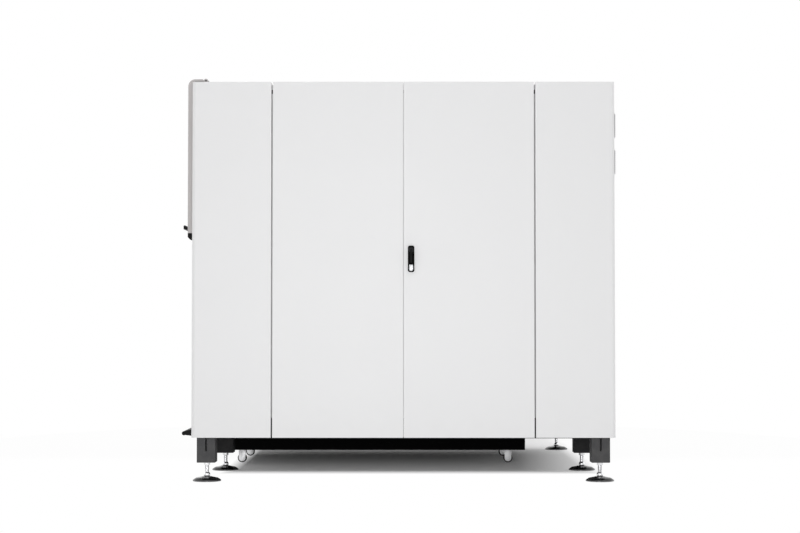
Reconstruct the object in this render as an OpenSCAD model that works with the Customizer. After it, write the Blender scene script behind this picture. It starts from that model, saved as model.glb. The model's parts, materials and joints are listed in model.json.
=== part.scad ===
// Enclosed flat-bed fiber laser cutting machine. Millimetres, Z up, floor at Z = 0.
// The operator stands at -Y and the side service doors face +X.

/* [Enclosure] */
// Width over the two side faces
body_w = 2400; // [2380:5:2420]
// Depth over the front and rear faces
body_d = 2036; // [2016:5:2056]
// Height of the side panel tops
body_h = 1925; // [1915:1:1935]
// Height of the panel bottom edges
skirt_z = 212; // [210:1:216]
// Sheet thickness of panels and covers
sheet_t = 2; // [1.5:0.5:2.5]
// Depth of the folded panel edges
fold_d = 25; // [24:1:27]
// Outer radius of the bent vertical corners
corner_r = 18; // [12:1:22]
// Width of a corner panel on the side face
corner_side = 382; // [375:1:389]
// Width of a corner panel on the front or rear face
corner_return = 100; // [96:1:104]
// Width of the vented corner panel on the rear face
vent_return = 300; // [296:1:304]
// Gap beside the doors and above the flap
door_gap = 7; // [6.5:0.5:8]
// Gap where the two doors meet
meet_gap = 3; // [2:0.5:4]
// Gap between fixed panels
panel_gap = 3; // [2:0.5:4]
// Drop of the roof below the side panel tops
roof_drop = 10; // [8:1:12]
// Distance of the roof edge behind the front face
roof_in = 36; // [34:1:38]
// Width of the stiffeners inside flat panels
stiff_w = 30; // [26:1:34]
// Stiffener places of the rear panel as shares of its width
rear_stiff_shares = [0.12, 0.88];
// Stiffener places of the rear cabinet panel as shares of its width
bay_stiff_shares = [0.15, 0.85];
// Stiffener places of the front panel as shares of its width
front_stiff_shares = [0.1, 0.5, 0.985];

/* [Frame] */
// Side length of the square legs
leg_w = 90; // [86:1:92]
// Height of the leg bottoms
leg_z = 91; // [88:1:94]
// Extra distance of the bed legs from the front and rear faces
bed_setback = 21; // [18:1:24]
// Width of the cabinet bay, side face to beam centre
cabinet_w = 745; // [735:1:755]
// Lift of the lower ring above the panel bottoms
ring_lift = 3; // [3:0.5:5]
// Height of the side beam tops
beam_top = 1100; // [1095:1:1105]
// Depth of the side beams
beam_h = 160; // [150:1:170]
// Side length of the posts and roof ring
post_w = 40; // [38:1:42]
// Fit-up gap between the bars of the frames
weld_gap = 0.2; // [0.1:0.05:0.4]
// Width of a door upright
upright_w = 45; // [40:1:50]
// Depth of the uprights on the left beam
slim_w = 20; // [18:1:21]
// Thickness of the upright caps
cap_t = 6; // [5:1:8]
// Extra width of the uprights behind the lift-off panels
seat_w = 20; // [16:1:24]
// Width of the slot in a leg
slot_w = 7; // [5:0.5:9]
// Depth of the slot in a leg
slot_d = 20; // [12:1:24]
// Height of the slot end
slot_z = 147; // [140:1:155]
// Width of the ledge that carries the slat frame
ledge_w = 57; // [52:1:60]
// Thickness of the ledge
ledge_t = 10; // [8:1:12]
// Width of the door mullion
mullion_w = 48; // [44:1:50]
// Thickness of the door mullion
mullion_t = 6; // [5:1:7]
// Depth of the mullion rib
mullion_rib = 30; // [26:1:34]
// Room for the seal between doors and mullion
seal_gap = 3; // [2:0.5:4]
// Room behind the doors for their swinging edges
swing_room = 5; // [4:0.5:6]

/* [Feet] */
// Pad diameter
pad_d = 137; // [130:1:142]
// Pad height
pad_h = 23; // [20:1:26]
// Height of the pad rim
pad_rim = 6; // [4:1:8]
// Height of the pad shoulder
pad_shoulder = 17; // [15:1:19]
// Shoulder diameter as a share of the pad diameter
pad_top_share = 0.76; // [0.7:0.01:0.8]
// Stud diameter
stud_d = 20; // [18:1:24]
// Ball diameter
ball_d = 32; // [28:1:34]
// Lock nut width over corners
nut_w = 38; // [34:1:42]
// Lock nut height
nut_h = 14; // [12:1:16]

/* [Door hinges] */
// Pin axis behind the leaf edge
axis_in = 12; // [11:0.5:12]
// Pin axis behind the leaf face
axis_dep = 12.5; // [12:0.5:13]
// Pin diameter
pin_d = 6; // [5:0.5:6.5]
// Radial play of pins and spindles
pin_play = 0.05; // [0.04:0.01:0.08]
// Thickness of a hinge arm
arm_t = 6; // [5:0.5:8]
// Half width of a hinge arm
arm_half = 6; // [5:0.5:6]
// Outer diameter of the arm eye
eye_d = 14; // [13:0.5:16]
// Thickness of a hinge lug
lug_t = 4; // [3:0.5:5]
// Half width of a hinge lug
lug_half = 7; // [6:0.5:7]
// Axial play of hinges
hinge_play = 0.3; // [0.2:0.05:0.5]
// Height of the notch in the leaf edge at a hinge
notch_h = 34; // [30:1:40]
// Depth of the fold at the hinge edge, less than at the other edges
hinge_fold = 15; // [14:0.5:15.5]
// Start of the arm foot behind the leaf face
foot_start = 32; // [31:1:34]
// Depth of the arm foot
foot_d = 12; // [10:1:14]
// Heights of the door hinges as shares of the door height
door_hinge_shares = [0.08, 0.5, 0.92];
// Places of the flap hinges as shares of the flap width
flap_hinge_shares = [0.04, 0.35, 0.65, 0.96];

/* [Door lock] */
// Distance of the lock from the door edge
lock_in = 36; // [34:1:38]
// Height of the lock centre
lock_z = 1070; // [1050:1:1090]
// Lock base width
lock_w = 31; // [29:1:32]
// Lock base height
lock_h = 127; // [120:1:132]
// Lock base thickness
lock_t = 8; // [7:0.5:9]
// Corner radius of lock base and lever
lock_r = 9; // [7:0.5:10]
// Turning axis below the base top
turn_drop = 21; // [20:0.5:22]
// Spindle diameter
spindle_d = 14; // [12:0.5:15]
// Diameter of the turning head
head_d = 26; // [24:0.5:27]
// Thickness of the turning head
head_t = 5; // [4:0.5:6]
// Lever width
lever_w = 22; // [20:0.5:23]
// Lever length below the turning axis
lever_l = 67; // [62:0.5:68]
// Lever thickness
lever_t = 8; // [7:0.5:9]
// Diameter of the pin that carries the lever
lever_pin_d = 4; // [3:0.5:5]
// Push button width and height
push = [18, 30]; // [16:0.5:31]
// Height of the button above the base
push_proud = 4; // [3:0.5:5]
// Push button bottom above the base bottom
push_up = 5; // [4:0.5:6]
// Length of the latch tongue
tongue_l = 42; // [40:1:44]
// Width of the latch tongue
tongue_w = 16; // [14:1:18]
// Thickness of the latch tongue
tongue_t = 6; // [5:0.5:7]

/* [Front flap] */
// Height of the flap top edge
flap_top = 557; // [547:1:567]
// Handle bar diameter
bar_d = 20; // [18:0.5:22]
// Distance of the bar axis from the face
bar_out = 50; // [46:1:54]
// Length of a flap handle
bar_l = 360; // [340:5:380]
// Distance of the handle from the flap end
bar_in = 25; // [20:1:30]
// Height of the bar axis above the flap bottom
bar_up = 14; // [12:1:16]
// Height of the bracket on the face
bracket_h = 34; // [30:1:38]
// Thickness of a bracket
bracket_t = 14; // [12:1:18]

/* [Hood] */
// Gap between hood end and side face
hood_side = 110; // [106:1:114]
// Hood skin in front of the front face
hood_proud = 33; // [31:1:35]
// Hood top above the side panel tops
hood_rise = 28; // [26:1:30]
// Height of the hood skin bottom
hood_z = 1200; // [1195:1:1205]
// Drop of the black lip below the skin
lip_drop = 32; // [30:1:34]
// Lip thickness at its top
lip_t = 20; // [18:1:22]
// Lip thickness at its bottom
lip_tip = 8; // [6:1:10]
// Upright front of the lip as a share of its drop
lip_front_share = 0.6; // [0.5:0.05:0.7]
// Outer radius of the hood corner
hood_r = 34; // [28:1:38]
// Hood sheet thickness
hood_t = 3; // [2.5:0.5:3.5]
// End of the hood top behind the front face
hood_back = 38; // [36:1:40]
// Depth of the hood end plates behind the front face
hood_end = 20; // [16:1:24]
// Depth of the end plates under the hood top
hood_flange = 8; // [7:0.5:9]
// Hinge axis behind the front face
hood_axis_y = 53; // [52:0.5:54]
// Hinge axis above the side panel tops
hood_axis_up = 21; // [20.5:0.5:22]
// Knuckle diameter
knuckle_d = 20; // [19:0.5:21]
// Length of one knuckle
knuckle_l = 24; // [22:1:26]
// Hood hinge pin diameter
hood_pin_d = 8; // [7:0.5:9]
// Hinge places as shares of the hood half width
hood_hinge_shares = [-0.965, -0.4, 0.4, 0.965];
// Window width
window_w = 1180; // [1160:5:1200]
// Window top below the hood top
window_drop = 193; // [188:1:198]
// Window centre to the left of the middle
window_off = 338; // [328:1:348]
// Window bottom above the skin bottom
window_up = 140; // [135:1:145]
// Corner radius of the window
window_r = 40; // [36:1:44]
// Overlap of the window pane behind the skin
pane_lap = 25; // [22:1:28]
// Window pane thickness
pane_t = 6; // [5:1:7]
// Hood handle length
grip_l = 2200; // [2180:5:2210]
// Width and height of the hood grip
grip = [11, 20]; // [10:1:22]
// Hood grip bottom above the skin bottom
grip_up = 17; // [14:1:20]
// Hood grip clear of the skin
grip_out = 8; // [7:0.5:9]
// Number of hood grip feet
grip_feet = 5; // [3:1:7]

/* [Gas springs] */
// Hood anchor forward of and below the hinge axis
gas_hood = [60, 100]; // [58:1:102]
// Frame anchor behind the front face
gas_y = 60; // [58:1:62]
// Frame anchor above the hood skin bottom
gas_up = 50; // [46:1:54]
// Inner face of the spring from the hood end
gas_in = 32; // [31:1:34]
// Cylinder diameter
gas_d = 22; // [20:0.5:23]
// Rod outside the cylinder with the hood shut, as a share of the spring length
gas_out_share = 0.307; // [0.3:0.001:0.315]
// Rod diameter
rod_d = 10; // [9:0.5:11]
// Radial room around the rod
rod_play = 0.3; // [0.25:0.05:0.4]
// Rod end above the cylinder bottom with the hood shut, as a share of the cylinder length
rod_up_share = 0.125; // [0.115:0.005:0.135]
// Thickness of the eyes
gas_eye_t = 10; // [9:0.5:11]
// Diameter of the eyes
gas_eye_d = 22; // [20:0.5:24]
// Pin diameter of the eyes
gas_pin_d = 10; // [9:0.5:11]

/* [Control panel] */
// Plate width and height
console = [440, 380]; // [370:1:450]
// Plate centre from the right side face
console_in = 350; // [340:1:360]
// Height of the plate bottom
console_z = 745; // [740:1:750]
// Plate thickness
console_t = 5; // [4:0.5:6]
// Corner radius of the plate
console_r = 12; // [8:1:16]
// Screen width and height
screen = [380, 230]; // [220:1:390]
// Screen thickness above the plate
screen_t = 3; // [2:0.5:4]
// Screen top below the plate top
screen_drop = 26; // [24:1:30]
// Height of the button row above the plate bottom
button_up = 62; // [58:1:66]
// Sideways places of the emergency stop, start and stop buttons
button_at = [-140, 20, 120]; // [-145:1:125]
// Emergency stop head diameter
estop_d = 40; // [38:1:44]
// Emergency stop head height
estop_h = 20; // [18:1:24]
// Button cap diameter
cap_d = 28; // [26:1:30]
// Button cap height
cap_h = 7; // [6:0.5:8]
// Button stem diameter
stem_d = 16; // [14:0.5:17]
// Stem length behind the plate
stem_l = 30; // [26:1:34]
// Room for the button stroke
stroke = 5; // [4.5:0.5:6]

/* [Rear face] */
// Louvre plate width
vent_w = 210; // [204:1:214]
// Louvre plate height
vent_h = 132; // [128:1:136]
// Gap between the side face and the louvre plate
vent_in = 40; // [38:1:44]
// Louvre plate bottoms below the panel tops
vent_drop = [448, 271]; // [266:1:454]
// Louvre blade reach behind the panel
vent_out = 10; // [8:0.5:11]
// Number of louvre blades
vent_n = 12; // [10:1:13]
// Louvre sheet thickness
vent_t = 1.5; // [1.2:0.1:2]
// Louvre plate border
vent_edge = 8; // [7:0.5:9]
// Extraction collar diameter
duct_d = 200; // [190:1:210]
// Extraction collar reach, within the louvre reach
duct_out = 9; // [7:0.5:9.5]
// Extraction collar wall
duct_t = 3; // [2.5:0.5:4]
// Extraction flange width
duct_flange = 25; // [22:1:28]
// Extraction collar place left of the bed middle
duct_off = 300; // [290:1:310]
// Height of the collar centre
duct_z = 770; // [760:1:780]
// Cable inlet diameter
inlet_d = 32; // [28:1:34]
// Cable inlet spacing
inlet_gap = 60; // [54:1:66]
// Number of cable inlets
inlet_n = 4; // [3:1:5]

/* [Scrap cart] */
// Cart body width
cart_w = 780; // [770:1:786]
// Cart body length
cart_l = 1634; // [1620:1:1640]
// Cart front end behind the front face
cart_in = 43; // [40:1:46]
// Height of the cart bottom
cart_z = 76; // [74:1:78]
// Height of the cart rim
cart_top = 196; // [194:1:200]
// Cart sheet thickness
cart_t = 3; // [2.5:0.5:4]
// Bottom of the stiffening band
band_z = 115; // [112:1:118]
// Height of the stiffening band
band_h = 14; // [12:1:16]
// Band reach beyond the side
band_t = 4; // [3:0.5:5]
// Wheel diameter
wheel_d = 50; // [48:1:52]
// Wheel width
wheel_w = 22; // [20:1:24]
// Wheel axle diameter
axle_d = 8; // [7:0.5:9]
// Front wheels behind the cart front
caster_front = 86; // [82:1:90]
// Rear wheels ahead of the cart rear
caster_rear = 86; // [82:1:90]
// Distance between the wheel tracks
caster_gap = 512; // [500:1:524]
// Fork plate width
fork_w = 42; // [40:1:44]
// Fork plate thickness
fork_t = 3; // [2.5:0.5:4]
// Side play of a wheel in its fork
wheel_play = 0.5; // [0.4:0.1:0.8]
// Caster top plate size
caster_plate = 66; // [62:1:70]
// Cart guide thickness
guide_t = 6; // [5:1:8]
// Side room between cart and guide
guide_gap = 6; // [5:0.5:8]
// Height of the guide bottoms
guide_z = 140; // [136:1:146]
// Cart grip diameter
pull_d = 14; // [12:0.5:15]
// Cart grip length
pull_l = 260; // [250:1:270]
// Cart grip clear of the cart
pull_out = 20; // [18:1:22]
// Height of the cart grip
pull_z = 160; // [156:1:166]

/* [Cutting bed] */
// Height of the slat tips
slat_top = 1040; // [1035:1:1045]
// Slat height
slat_h = 110; // [105:1:115]
// Slat thickness
slat_t = 3; // [2.5:0.5:4]
// Number of slats
slat_n = 20; // [16:1:22]
// Tooth pitch of the slats
tooth_w = 60; // [58:1:64]
// Tooth depth of the slats
tooth_h = 28; // [24:1:32]
// Slat bed distance from the front and rear faces
table_in = 175; // [170:1:180]
// Slat frame bar height
table_bar = 50; // [46:1:54]
// Slat frame side clearance to the beams
table_gap = 8; // [6:1:10]
// Slat frame bar width
table_w = 44; // [40:1:46]
// Comb strip thickness
comb_t = 4; // [3:0.5:5]
// Comb strip height
comb_h = 70; // [64:1:74]
// Comb slot play
comb_play = 0.4; // [0.3:0.1:0.6]
// Hopper sheet thickness
hopper_t = 3; // [2:0.5:4]
// Hopper mouth inside the cart walls
hopper_in = 14; // [12:1:18]
// Gap between hopper and cart
hopper_gap = 8; // [6:1:9]

/* [Gantry] */
// Rail width and height
rail = [28, 26]; // [24:1:30]
// Runner clear of the uprights
runner_gap = 8; // [6:1:10]
// Rack clear of the runners
rack_gap = 2; // [1.5:0.5:3]
// Tooth module of racks and pinions
gear_m = 4; // [3.8:0.1:4.1]
// Teeth of a Y pinion
y_teeth = 16; // [16:1:18]
// Teeth of the X pinion
x_teeth = 12; // [12:1:13]
// Side play between teeth
backlash = 0.5; // [0.4:0.1:0.7]
// Rack body width
rack_w = 20; // [18:1:22]
// Rack height
rack_h = 20; // [18:1:22]
// Pinion clear of the beam top
pinion_lift = 3; // [2:0.5:4]
// Pinion height
pinion_h = 16; // [14:1:17]
// Pinion shaft diameter
shaft_d = 16; // [14:1:18]
// Runner width, length and height
runner = [40, 80, 36]; // [34:1:84]
// Runner bottom above the rail foot
runner_lift = 8; // [7:0.5:9]
// Play between rail and runner
rail_play = 0.3; // [0.25:0.05:0.4]
// Gantry base plate thickness
base_t = 20; // [18:1:22]
// Gantry base plate length to the front and rear of the beam axis
base_l = [90, 190]; // [86:1:194]
// Gantry beam depth and height
gantry = [140, 160]; // [135:1:165]
// Gantry beam wall
gantry_wall = 8; // [6:1:10]
// Gantry rest place ahead of the rear face
gantry_in = 300; // [296:1:310]
// Drive place behind the beam axis
drive_y = 130; // [126:1:134]
// Reducer size
reducer = [76, 76, 60]; // [56:1:80]
// Motor size
motor = [70, 70, 120]; // [66:1:124]
// X rail size, width and height
x_rail = [20, 20]; // [18:1:22]
// Distance of the X rails from the beam edges
x_rail_in = 2; // [1:0.5:3]
// X rail ends from the gantry ends
x_end = 169.5; // [165:0.5:175]
// Carriage plate thickness
plate_t = 20; // [18:1:22]
// Carriage plate width
plate_w = 300; // [290:1:310]
// Carriage plate height below and above the beam
plate_over = [10, 120]; // [8:1:126]
// Carriage plate ahead of the rail end at rest
x_stop = 20; // [16:1:24]
// X drive place right of the carriage middle
x_drive_off = 100; // [96:1:104]
// X motor size
x_motor = [60, 60, 100]; // [56:1:104]
// Z slide rail width and depth
z_rail = [44, 16]; // [14:1:46]
// Z slide width, depth and height
z_slide_size = [90, 40, 190]; // [36:1:196]
// Z slide place left of the carriage middle
z_off = 60; // [56:1:64]
// Z slide bottom above the carriage bottom
z_up = 90; // [88:1:94]
// Cutting head clear of the slide
head_y = 46; // [44:1:48]
// Nozzle tip below the slide bottom
tip_drop = 98; // [96:1:100]
// Cutting head body diameter
cut_d = 60; // [56:1:64]
// Fiber connector diameter
fiber_d = 26; // [24:1:30]
// Nozzle length
nozzle_l = 22; // [20:1:24]
// Nozzle top and tip diameters
nozzle_d = [24, 5]; // [4:1:26]

/* [Cabinet] */
// Laser source size
laser = [420, 640, 230]; // [225:1:650]
// Laser source ahead of the rear face
laser_back = 178; // [170:1:190]
// Laser source foot height
laser_foot = 20; // [16:1:24]
// Electrical panel width and height
plate = [900, 860]; // [850:1:910]
// Electrical panel place ahead of the middle
plate_y = 60; // [50:1:70]
// Height of the electrical panel bottom
plate_z = 640; // [630:1:650]
// Electrical panel thickness
back_t = 3; // [2.5:0.5:4]
// Electrical panel stand-off
back_gap = 18; // [16:1:22]
// Servo drive size
drive = [150, 62, 190]; // [58:1:196]
// Number of servo drives
drive_n = 4; // [3:1:4]
// Breaker size
breaker = [62, 18, 84]; // [16:1:88]
// Number of breakers
breaker_n = 16; // [12:1:18]
// Wiring duct size
duct = [60, 40]; // [36:1:64]
// Wiring duct heights as shares of the panel height
duct_shares = [0.06, 0.36, 0.64, 0.94];
// Controller size
controller = [90, 260, 200]; // [86:1:266]
// Spacing in the electrical panel rows
row_gap = 26; // [22:1:30]

/* [Hidden] */
$fn = 48;
cut = sheet_t / 2;
side_x = body_w / 2;
reach_front = bar_out + bar_d / 2;
reach_rear = vent_out;
y_mid = (reach_front - reach_rear) / 2;
front_y = y_mid - body_d / 2;
rear_y = y_mid + body_d / 2;
panel_h = body_h - skirt_z;
roof_top = body_h - roof_drop;
door_w = body_d / 2 - corner_side - door_gap - meet_gap / 2;
hinge_front_y = front_y + corner_side + door_gap;
hinge_rear_y = rear_y - corner_side - door_gap;
upright_x = door_gap + sheet_t / 2;
ring_z = skirt_z + ring_lift;
ring_top = ring_z + leg_w;
top_hi = roof_top - sheet_t;
top_lo = top_hi - post_w;
leg_x = side_x - fold_d - leg_w / 2;
near_fy = front_y + fold_d + leg_w / 2;
near_ry = rear_y - fold_d - leg_w / 2;
bed_fy = near_fy + bed_setback;
bed_ry = near_ry - bed_setback;
frame_fy = bed_fy - leg_w / 2;
frame_ry = bed_ry + leg_w / 2;
bed_x = side_x - cabinet_w;
bed_cx = (bed_x - leg_x) / 2;
bed_half = (bed_x + leg_x) / 2;
u_in = bed_half - leg_w / 2;
u_out = bed_half + leg_w / 2;
beam_lo = beam_top - beam_h;
mid_rail_z = flap_top + upright_x;
lever_z = lock_t + 2 * hinge_play + head_t + lever_t / 2;
front_w = body_w - 2 * (corner_return + panel_gap);
front_z = flap_top + door_gap;
sill_z = hood_z - lip_drop - door_gap;
feet_xy = [for (x = [-leg_x, bed_x], y = [bed_fy, bed_ry]) [x, y], [leg_x, near_fy], [leg_x, near_ry]];
hood_half = side_x - hood_side;
hood_top = body_h + hood_rise;
hood_hy = front_y + hood_axis_y;
hood_hz = body_h + hood_axis_up;
window_z = hood_z + window_up;
window_h = hood_top - window_drop - window_z;
gas_x = hood_half - gas_in;
gas_b = [front_y + gas_y, hood_z + gas_up];
gas_t = [hood_hy - gas_hood[0], hood_hz - gas_hood[1]];
gas_len = norm(gas_t - gas_b);
gas_l = gas_len * (1 - gas_out_share) - gas_eye_d / 2 - gas_eye_t / 2;
rod_in = gas_l * (1 - rod_up_share);
gas_tilt = atan2(gas_b[0] - gas_t[0], gas_t[1] - gas_b[1]);
vent_z = [for (d = vent_drop) body_h - d];
console_x = side_x - console_in;
cart_fy = front_y + cart_in;
cart_ry = cart_fy + cart_l;
cart_half = cart_w / 2;
guide_u = cart_half + band_t + guide_gap;
caster_ys = [cart_fy + caster_front, cart_ry - caster_rear];
wheel_r = wheel_d / 2;
fork_in = wheel_w / 2 + wheel_play;
table_u = u_in - table_gap;
slat_z = slat_top - slat_h;
ledge_z = slat_z - table_bar;
table_fy = front_y + table_in;
table_ry = rear_y - table_in;
slat_step = (table_ry - table_fy - 2 * table_w) / slat_n;
slat_half = table_u - table_w / 2;
tooth_n = floor(2 * slat_half / tooth_w);
base_u = u_out - slim_w - runner_gap;
rail_u = base_u - runner[0] / 2;
rail_y0 = frame_fy + post_w + runner_gap;
rail_y1 = frame_ry - post_w - runner_gap;
gear_pitch = PI * gear_m;
rack_deep = 2.25 * gear_m;
rack_u = base_u - runner[0] - rack_gap - rack_w;
y_pitch_r = gear_m * y_teeth / 2;
x_pitch_r = gear_m * x_teeth / 2;
pinion_u = rack_u - rack_deep + gear_m - y_pitch_r;
gantry_y = rear_y - gantry_in;
runner_z = beam_top + runner_lift;
base_z = runner_z + runner[2];
gantry_z = base_z + base_t;
gantry_top = gantry_z + gantry[1];
gantry_fy = gantry_y - gantry[0] / 2;
plate_y1 = gantry_fy - runner_lift - runner[2];
plate_y0 = plate_y1 - plate_t;
plate_z0 = gantry_z - plate_over[0];
plate_z1 = gantry_top + plate_over[1];
x_half = base_u - x_end;
car_x = bed_cx - x_half + plate_w / 2 + x_stop;
x_rail_lo = gantry_z + x_rail_in;
x_rail_hi = gantry_top - x_rail_in - x_rail[0];
x_rack_z = x_rail_hi + (x_rail[0] - runner[0]) / 2 - rack_gap - rack_w;
x_pinion_z = x_rack_z - rack_deep + gear_m - x_pitch_r;
x_pinion_x = car_x + x_drive_off;
z_x = car_x - z_off;
slide_z = plate_z0 + z_up;
slide_y = plate_y0 - z_slide_size[1];
tip_z = slide_z - tip_drop;
cut_y = slide_y - head_y;
liner_x = bed_x + leg_w / 2;
back_x = liner_x + sheet_t + back_gap;

// A block between two opposite corners
module box(a, b) {
  translate(a)
    cube(b - a);
}

// Children drawn outward from the bed middle on both sides
module both_sides() {
  for (s = [0, 1])
    translate([bed_cx, 0, 0])
      mirror([s, 0, 0])
        children();
}

// Rectangle with round corners, built from pieces that share edges
module rounded(w, h, r) {
  translate([-w / 2, r - h / 2])
    square([w, h - 2 * r]);
  for (s = [-1, 1])
    translate([r - w / 2, s * (h - r) / 2 - r / 2])
      square([w - 2 * r, r]);
  for (sx = [-1, 1], sy = [-1, 1])
    translate([sx * (w / 2 - r), sy * (h / 2 - r)])
      intersection() {
        circle(r);
        translate([min(sx, 0) * r, min(sy, 0) * r])
          square(r);
      }
}

// Sheet with one bent corner at the origin and legs along x and y
module bent(a, b, r, t) {
  translate([r, 0])
    square([a - r, t]);
  translate([0, r])
    square([t, b - r]);
  intersection() {
    translate([r, r])
      difference() {
        circle(r);
        circle(r - t);
      }
    square(r);
  }
}

// Closing strip at the top or bottom of a corner panel
module corner_lid(a, b) {
  difference() {
    union() {
      square([a, fold_d]);
      square([fold_d, b]);
    }
    difference() {
      square(corner_r);
      translate([corner_r, corner_r])
        circle(corner_r);
    }
  }
}

// Corner panel, bent around one vertical edge of the machine
module corner_panel(b) {
  linear_extrude(panel_h)
    bent(corner_side, b, corner_r, sheet_t);
  translate([corner_side - sheet_t, 0, 0])
    cube([sheet_t, fold_d, panel_h]);
  for (z = [0, panel_h - sheet_t])
    translate([0, 0, z])
      linear_extrude(sheet_t)
        corner_lid(corner_side, b);
}

// Corner panel at one corner, with the sides named by signs
module corner_at(sx, sy, b) {
  translate([sx * side_x, sy > 0 ? rear_y : front_y, skirt_z])
    mirror([sx < 0 ? 1 : 0, 0, 0])
      mirror([0, sy > 0 ? 1 : 0, 0])
        rotate(90)
          corner_panel(b);
}

// Folded panel with its face at y = 0 and open towards +y
module tray(w, h) {
  difference() {
    cube([w, fold_d, h]);
    translate([sheet_t, sheet_t, sheet_t])
      cube([w - 2 * sheet_t, fold_d, h - 2 * sheet_t]);
  }
}

// Folded panel with vertical stiffeners at shares of its width
module stiff_tray(w, h, shares) {
  tray(w, h);
  for (s = shares)
    translate([s * w - stiff_w / 2, sheet_t, sheet_t])
      cube([stiff_w, fold_d - sheet_t, h - 2 * sheet_t]);
}

// Hinged folded panel, hinge edge at x = 0, hinges at shares of its height
module leaf(w, h, shares) {
  difference() {
    tray(w, h);
    for (s = shares)
      translate([-cut, sheet_t, s * h - notch_h / 2])
        cube([sheet_t + 2 * cut, fold_d, notch_h]);
    translate([-cut, hinge_fold, -cut])
      cube([axis_in + cut, fold_d, h + 2 * cut]);
  }
  for (s = shares)
    translate([axis_in, axis_dep, s * h])
      leaf_hinge();
}

// Two lugs and the pin of one leaf hinge
module leaf_hinge() {
  lug_z = arm_t / 2 + hinge_play;
  for (z = [-lug_z - lug_t, lug_z])
    translate([-lug_half, sheet_t - axis_dep, z])
      cube([2 * lug_half, axis_dep - sheet_t + lug_half, lug_t]);
  translate([0, 0, -lug_z - lug_t])
    cylinder(d = pin_d, h = 2 * (lug_z + lug_t));
}

// Fixed arms of one hinged panel, in the frame of that panel
module arms(h, shares) {
  for (s = shares)
    translate([axis_in, axis_dep, s * h - arm_t / 2])
      difference() {
        union() {
          cylinder(d = eye_d, h = arm_t);
          translate([-arm_half, 0, 0])
            cube([2 * arm_half, foot_start + foot_d - axis_dep, arm_t]);
          translate([-axis_in - upright_x, foot_start - axis_dep, 0])
            cube([axis_in + upright_x, foot_d, arm_t]);
        }
        translate([0, 0, -cut])
          cylinder(d = pin_d + 2 * pin_play, h = arm_t + 2 * cut);
      }
}

// Places of the two doors and of the flap
module at_door(s) {
  translate([side_x, s > 0 ? hinge_rear_y : hinge_front_y, skirt_z])
    mirror([0, s > 0 ? 1 : 0, 0])
      rotate(90)
        children();
}

module at_flap() {
  translate([-front_w / 2, front_y, flap_top])
    rotate([0, 90, 0])
      children();
}

// Place on the outer face of the rear door: x along +Y, y up, z outward
module at_lock(up) {
  translate([side_x, y_mid + meet_gap / 2 + lock_in, lock_z + up])
    rotate([90, 0, 90])
      children();
}

module bed_frame() color("#1c1d1f") {
  both_sides() {
    for (y = [bed_fy, bed_ry])
      box([u_in, y - leg_w / 2, leg_z], [u_out, y + leg_w / 2, beam_lo - weld_gap]);
    box([u_in, frame_fy, beam_lo], [u_out, frame_ry, beam_top]);
    box([u_in, frame_fy + leg_w + weld_gap, ring_z], [u_out, frame_ry - leg_w - weld_gap, ring_top]);
    box([u_in - ledge_w, table_fy, ledge_z - ledge_t], [u_in - weld_gap, table_ry, ledge_z]);
    box([guide_u, frame_fy, guide_z], [guide_u + guide_t, frame_ry, ring_z - weld_gap]);
  }
  for (y = [bed_fy, bed_ry])
    box([bed_cx - u_in + weld_gap, y - leg_w / 2, ring_z],
      [bed_cx + u_in - weld_gap, y + leg_w / 2, ring_top]);
  box([bed_cx - guide_u + weld_gap, cart_ry, guide_z],
    [bed_cx + guide_u - weld_gap, cart_ry + guide_t, cart_top + hopper_gap - weld_gap]);
}

// Leg of the cabinet bay with the slot in its outer face
module near_leg(y) {
  difference() {
    box([leg_x - leg_w / 2, y - leg_w / 2, leg_z], [leg_x + leg_w / 2, y + leg_w / 2, ring_top]);
    box([leg_x + leg_w / 2 - slot_d, y - slot_w / 2, slot_z],
      [leg_x + leg_w / 2 + cut, y + slot_w / 2, ring_z]);
  }
}

// Upright beside a door or lift-off panel with its cap, in the frame of that panel
module upright(wide, deep, z0) {
  z1 = top_lo - cap_t;
  translate([-upright_x - upright_w, fold_d, z0 - skirt_z])
    cube([upright_w + wide, deep, z1 - z0 - weld_gap]);
  translate([-upright_x - upright_w, fold_d, z1 - skirt_z])
    cube([upright_w + wide, post_w, cap_t - weld_gap]);
}

module cabinet_frame() color("#1c1d1f") {
  for (y = [near_fy, near_ry]) {
    near_leg(y);
    box([liner_x, y - leg_w / 2, ring_z], [leg_x - leg_w / 2 - weld_gap, y + leg_w / 2, ring_top]);
  }
  box([leg_x - leg_w / 2, near_fy + leg_w / 2 + weld_gap, ring_z],
    [leg_x + leg_w / 2 - swing_room, near_ry - leg_w / 2 - weld_gap, ring_top]);
  for (y = [frame_fy, frame_ry - post_w]) {
    box([leg_x - post_w / 2, y, ring_top + weld_gap], [leg_x + post_w / 2, y + post_w, top_hi]);
    box([-leg_x - post_w / 2, y, beam_top], [post_w / 2 - leg_x, y + post_w, top_hi]);
    box([post_w / 2 - leg_x + weld_gap, y, top_lo], [leg_x - post_w / 2 - weld_gap, y + post_w, top_hi]);
  }
  for (s = [-1, 1])
    box([s * leg_x - post_w / 2, frame_fy + post_w + weld_gap, top_lo],
      [s * leg_x + post_w / 2, frame_ry - post_w - weld_gap, top_hi]);
  for (s = [-1, 1]) {
    at_door(s)
      upright(0, post_w, ring_top + weld_gap);
    mirror([1, 0, 0])
      at_door(s)
        upright(upright_x + seat_w, slim_w, beam_top);
  }
  box([-leg_x - leg_w / 2, front_y + fold_d, mid_rail_z],
    [leg_x + post_w / 2, frame_fy - weld_gap, mid_rail_z + post_w]);
  box([-leg_x - leg_w / 2, frame_ry + weld_gap, mid_rail_z],
    [liner_x, rear_y - fold_d, mid_rail_z + post_w]);
}

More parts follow.
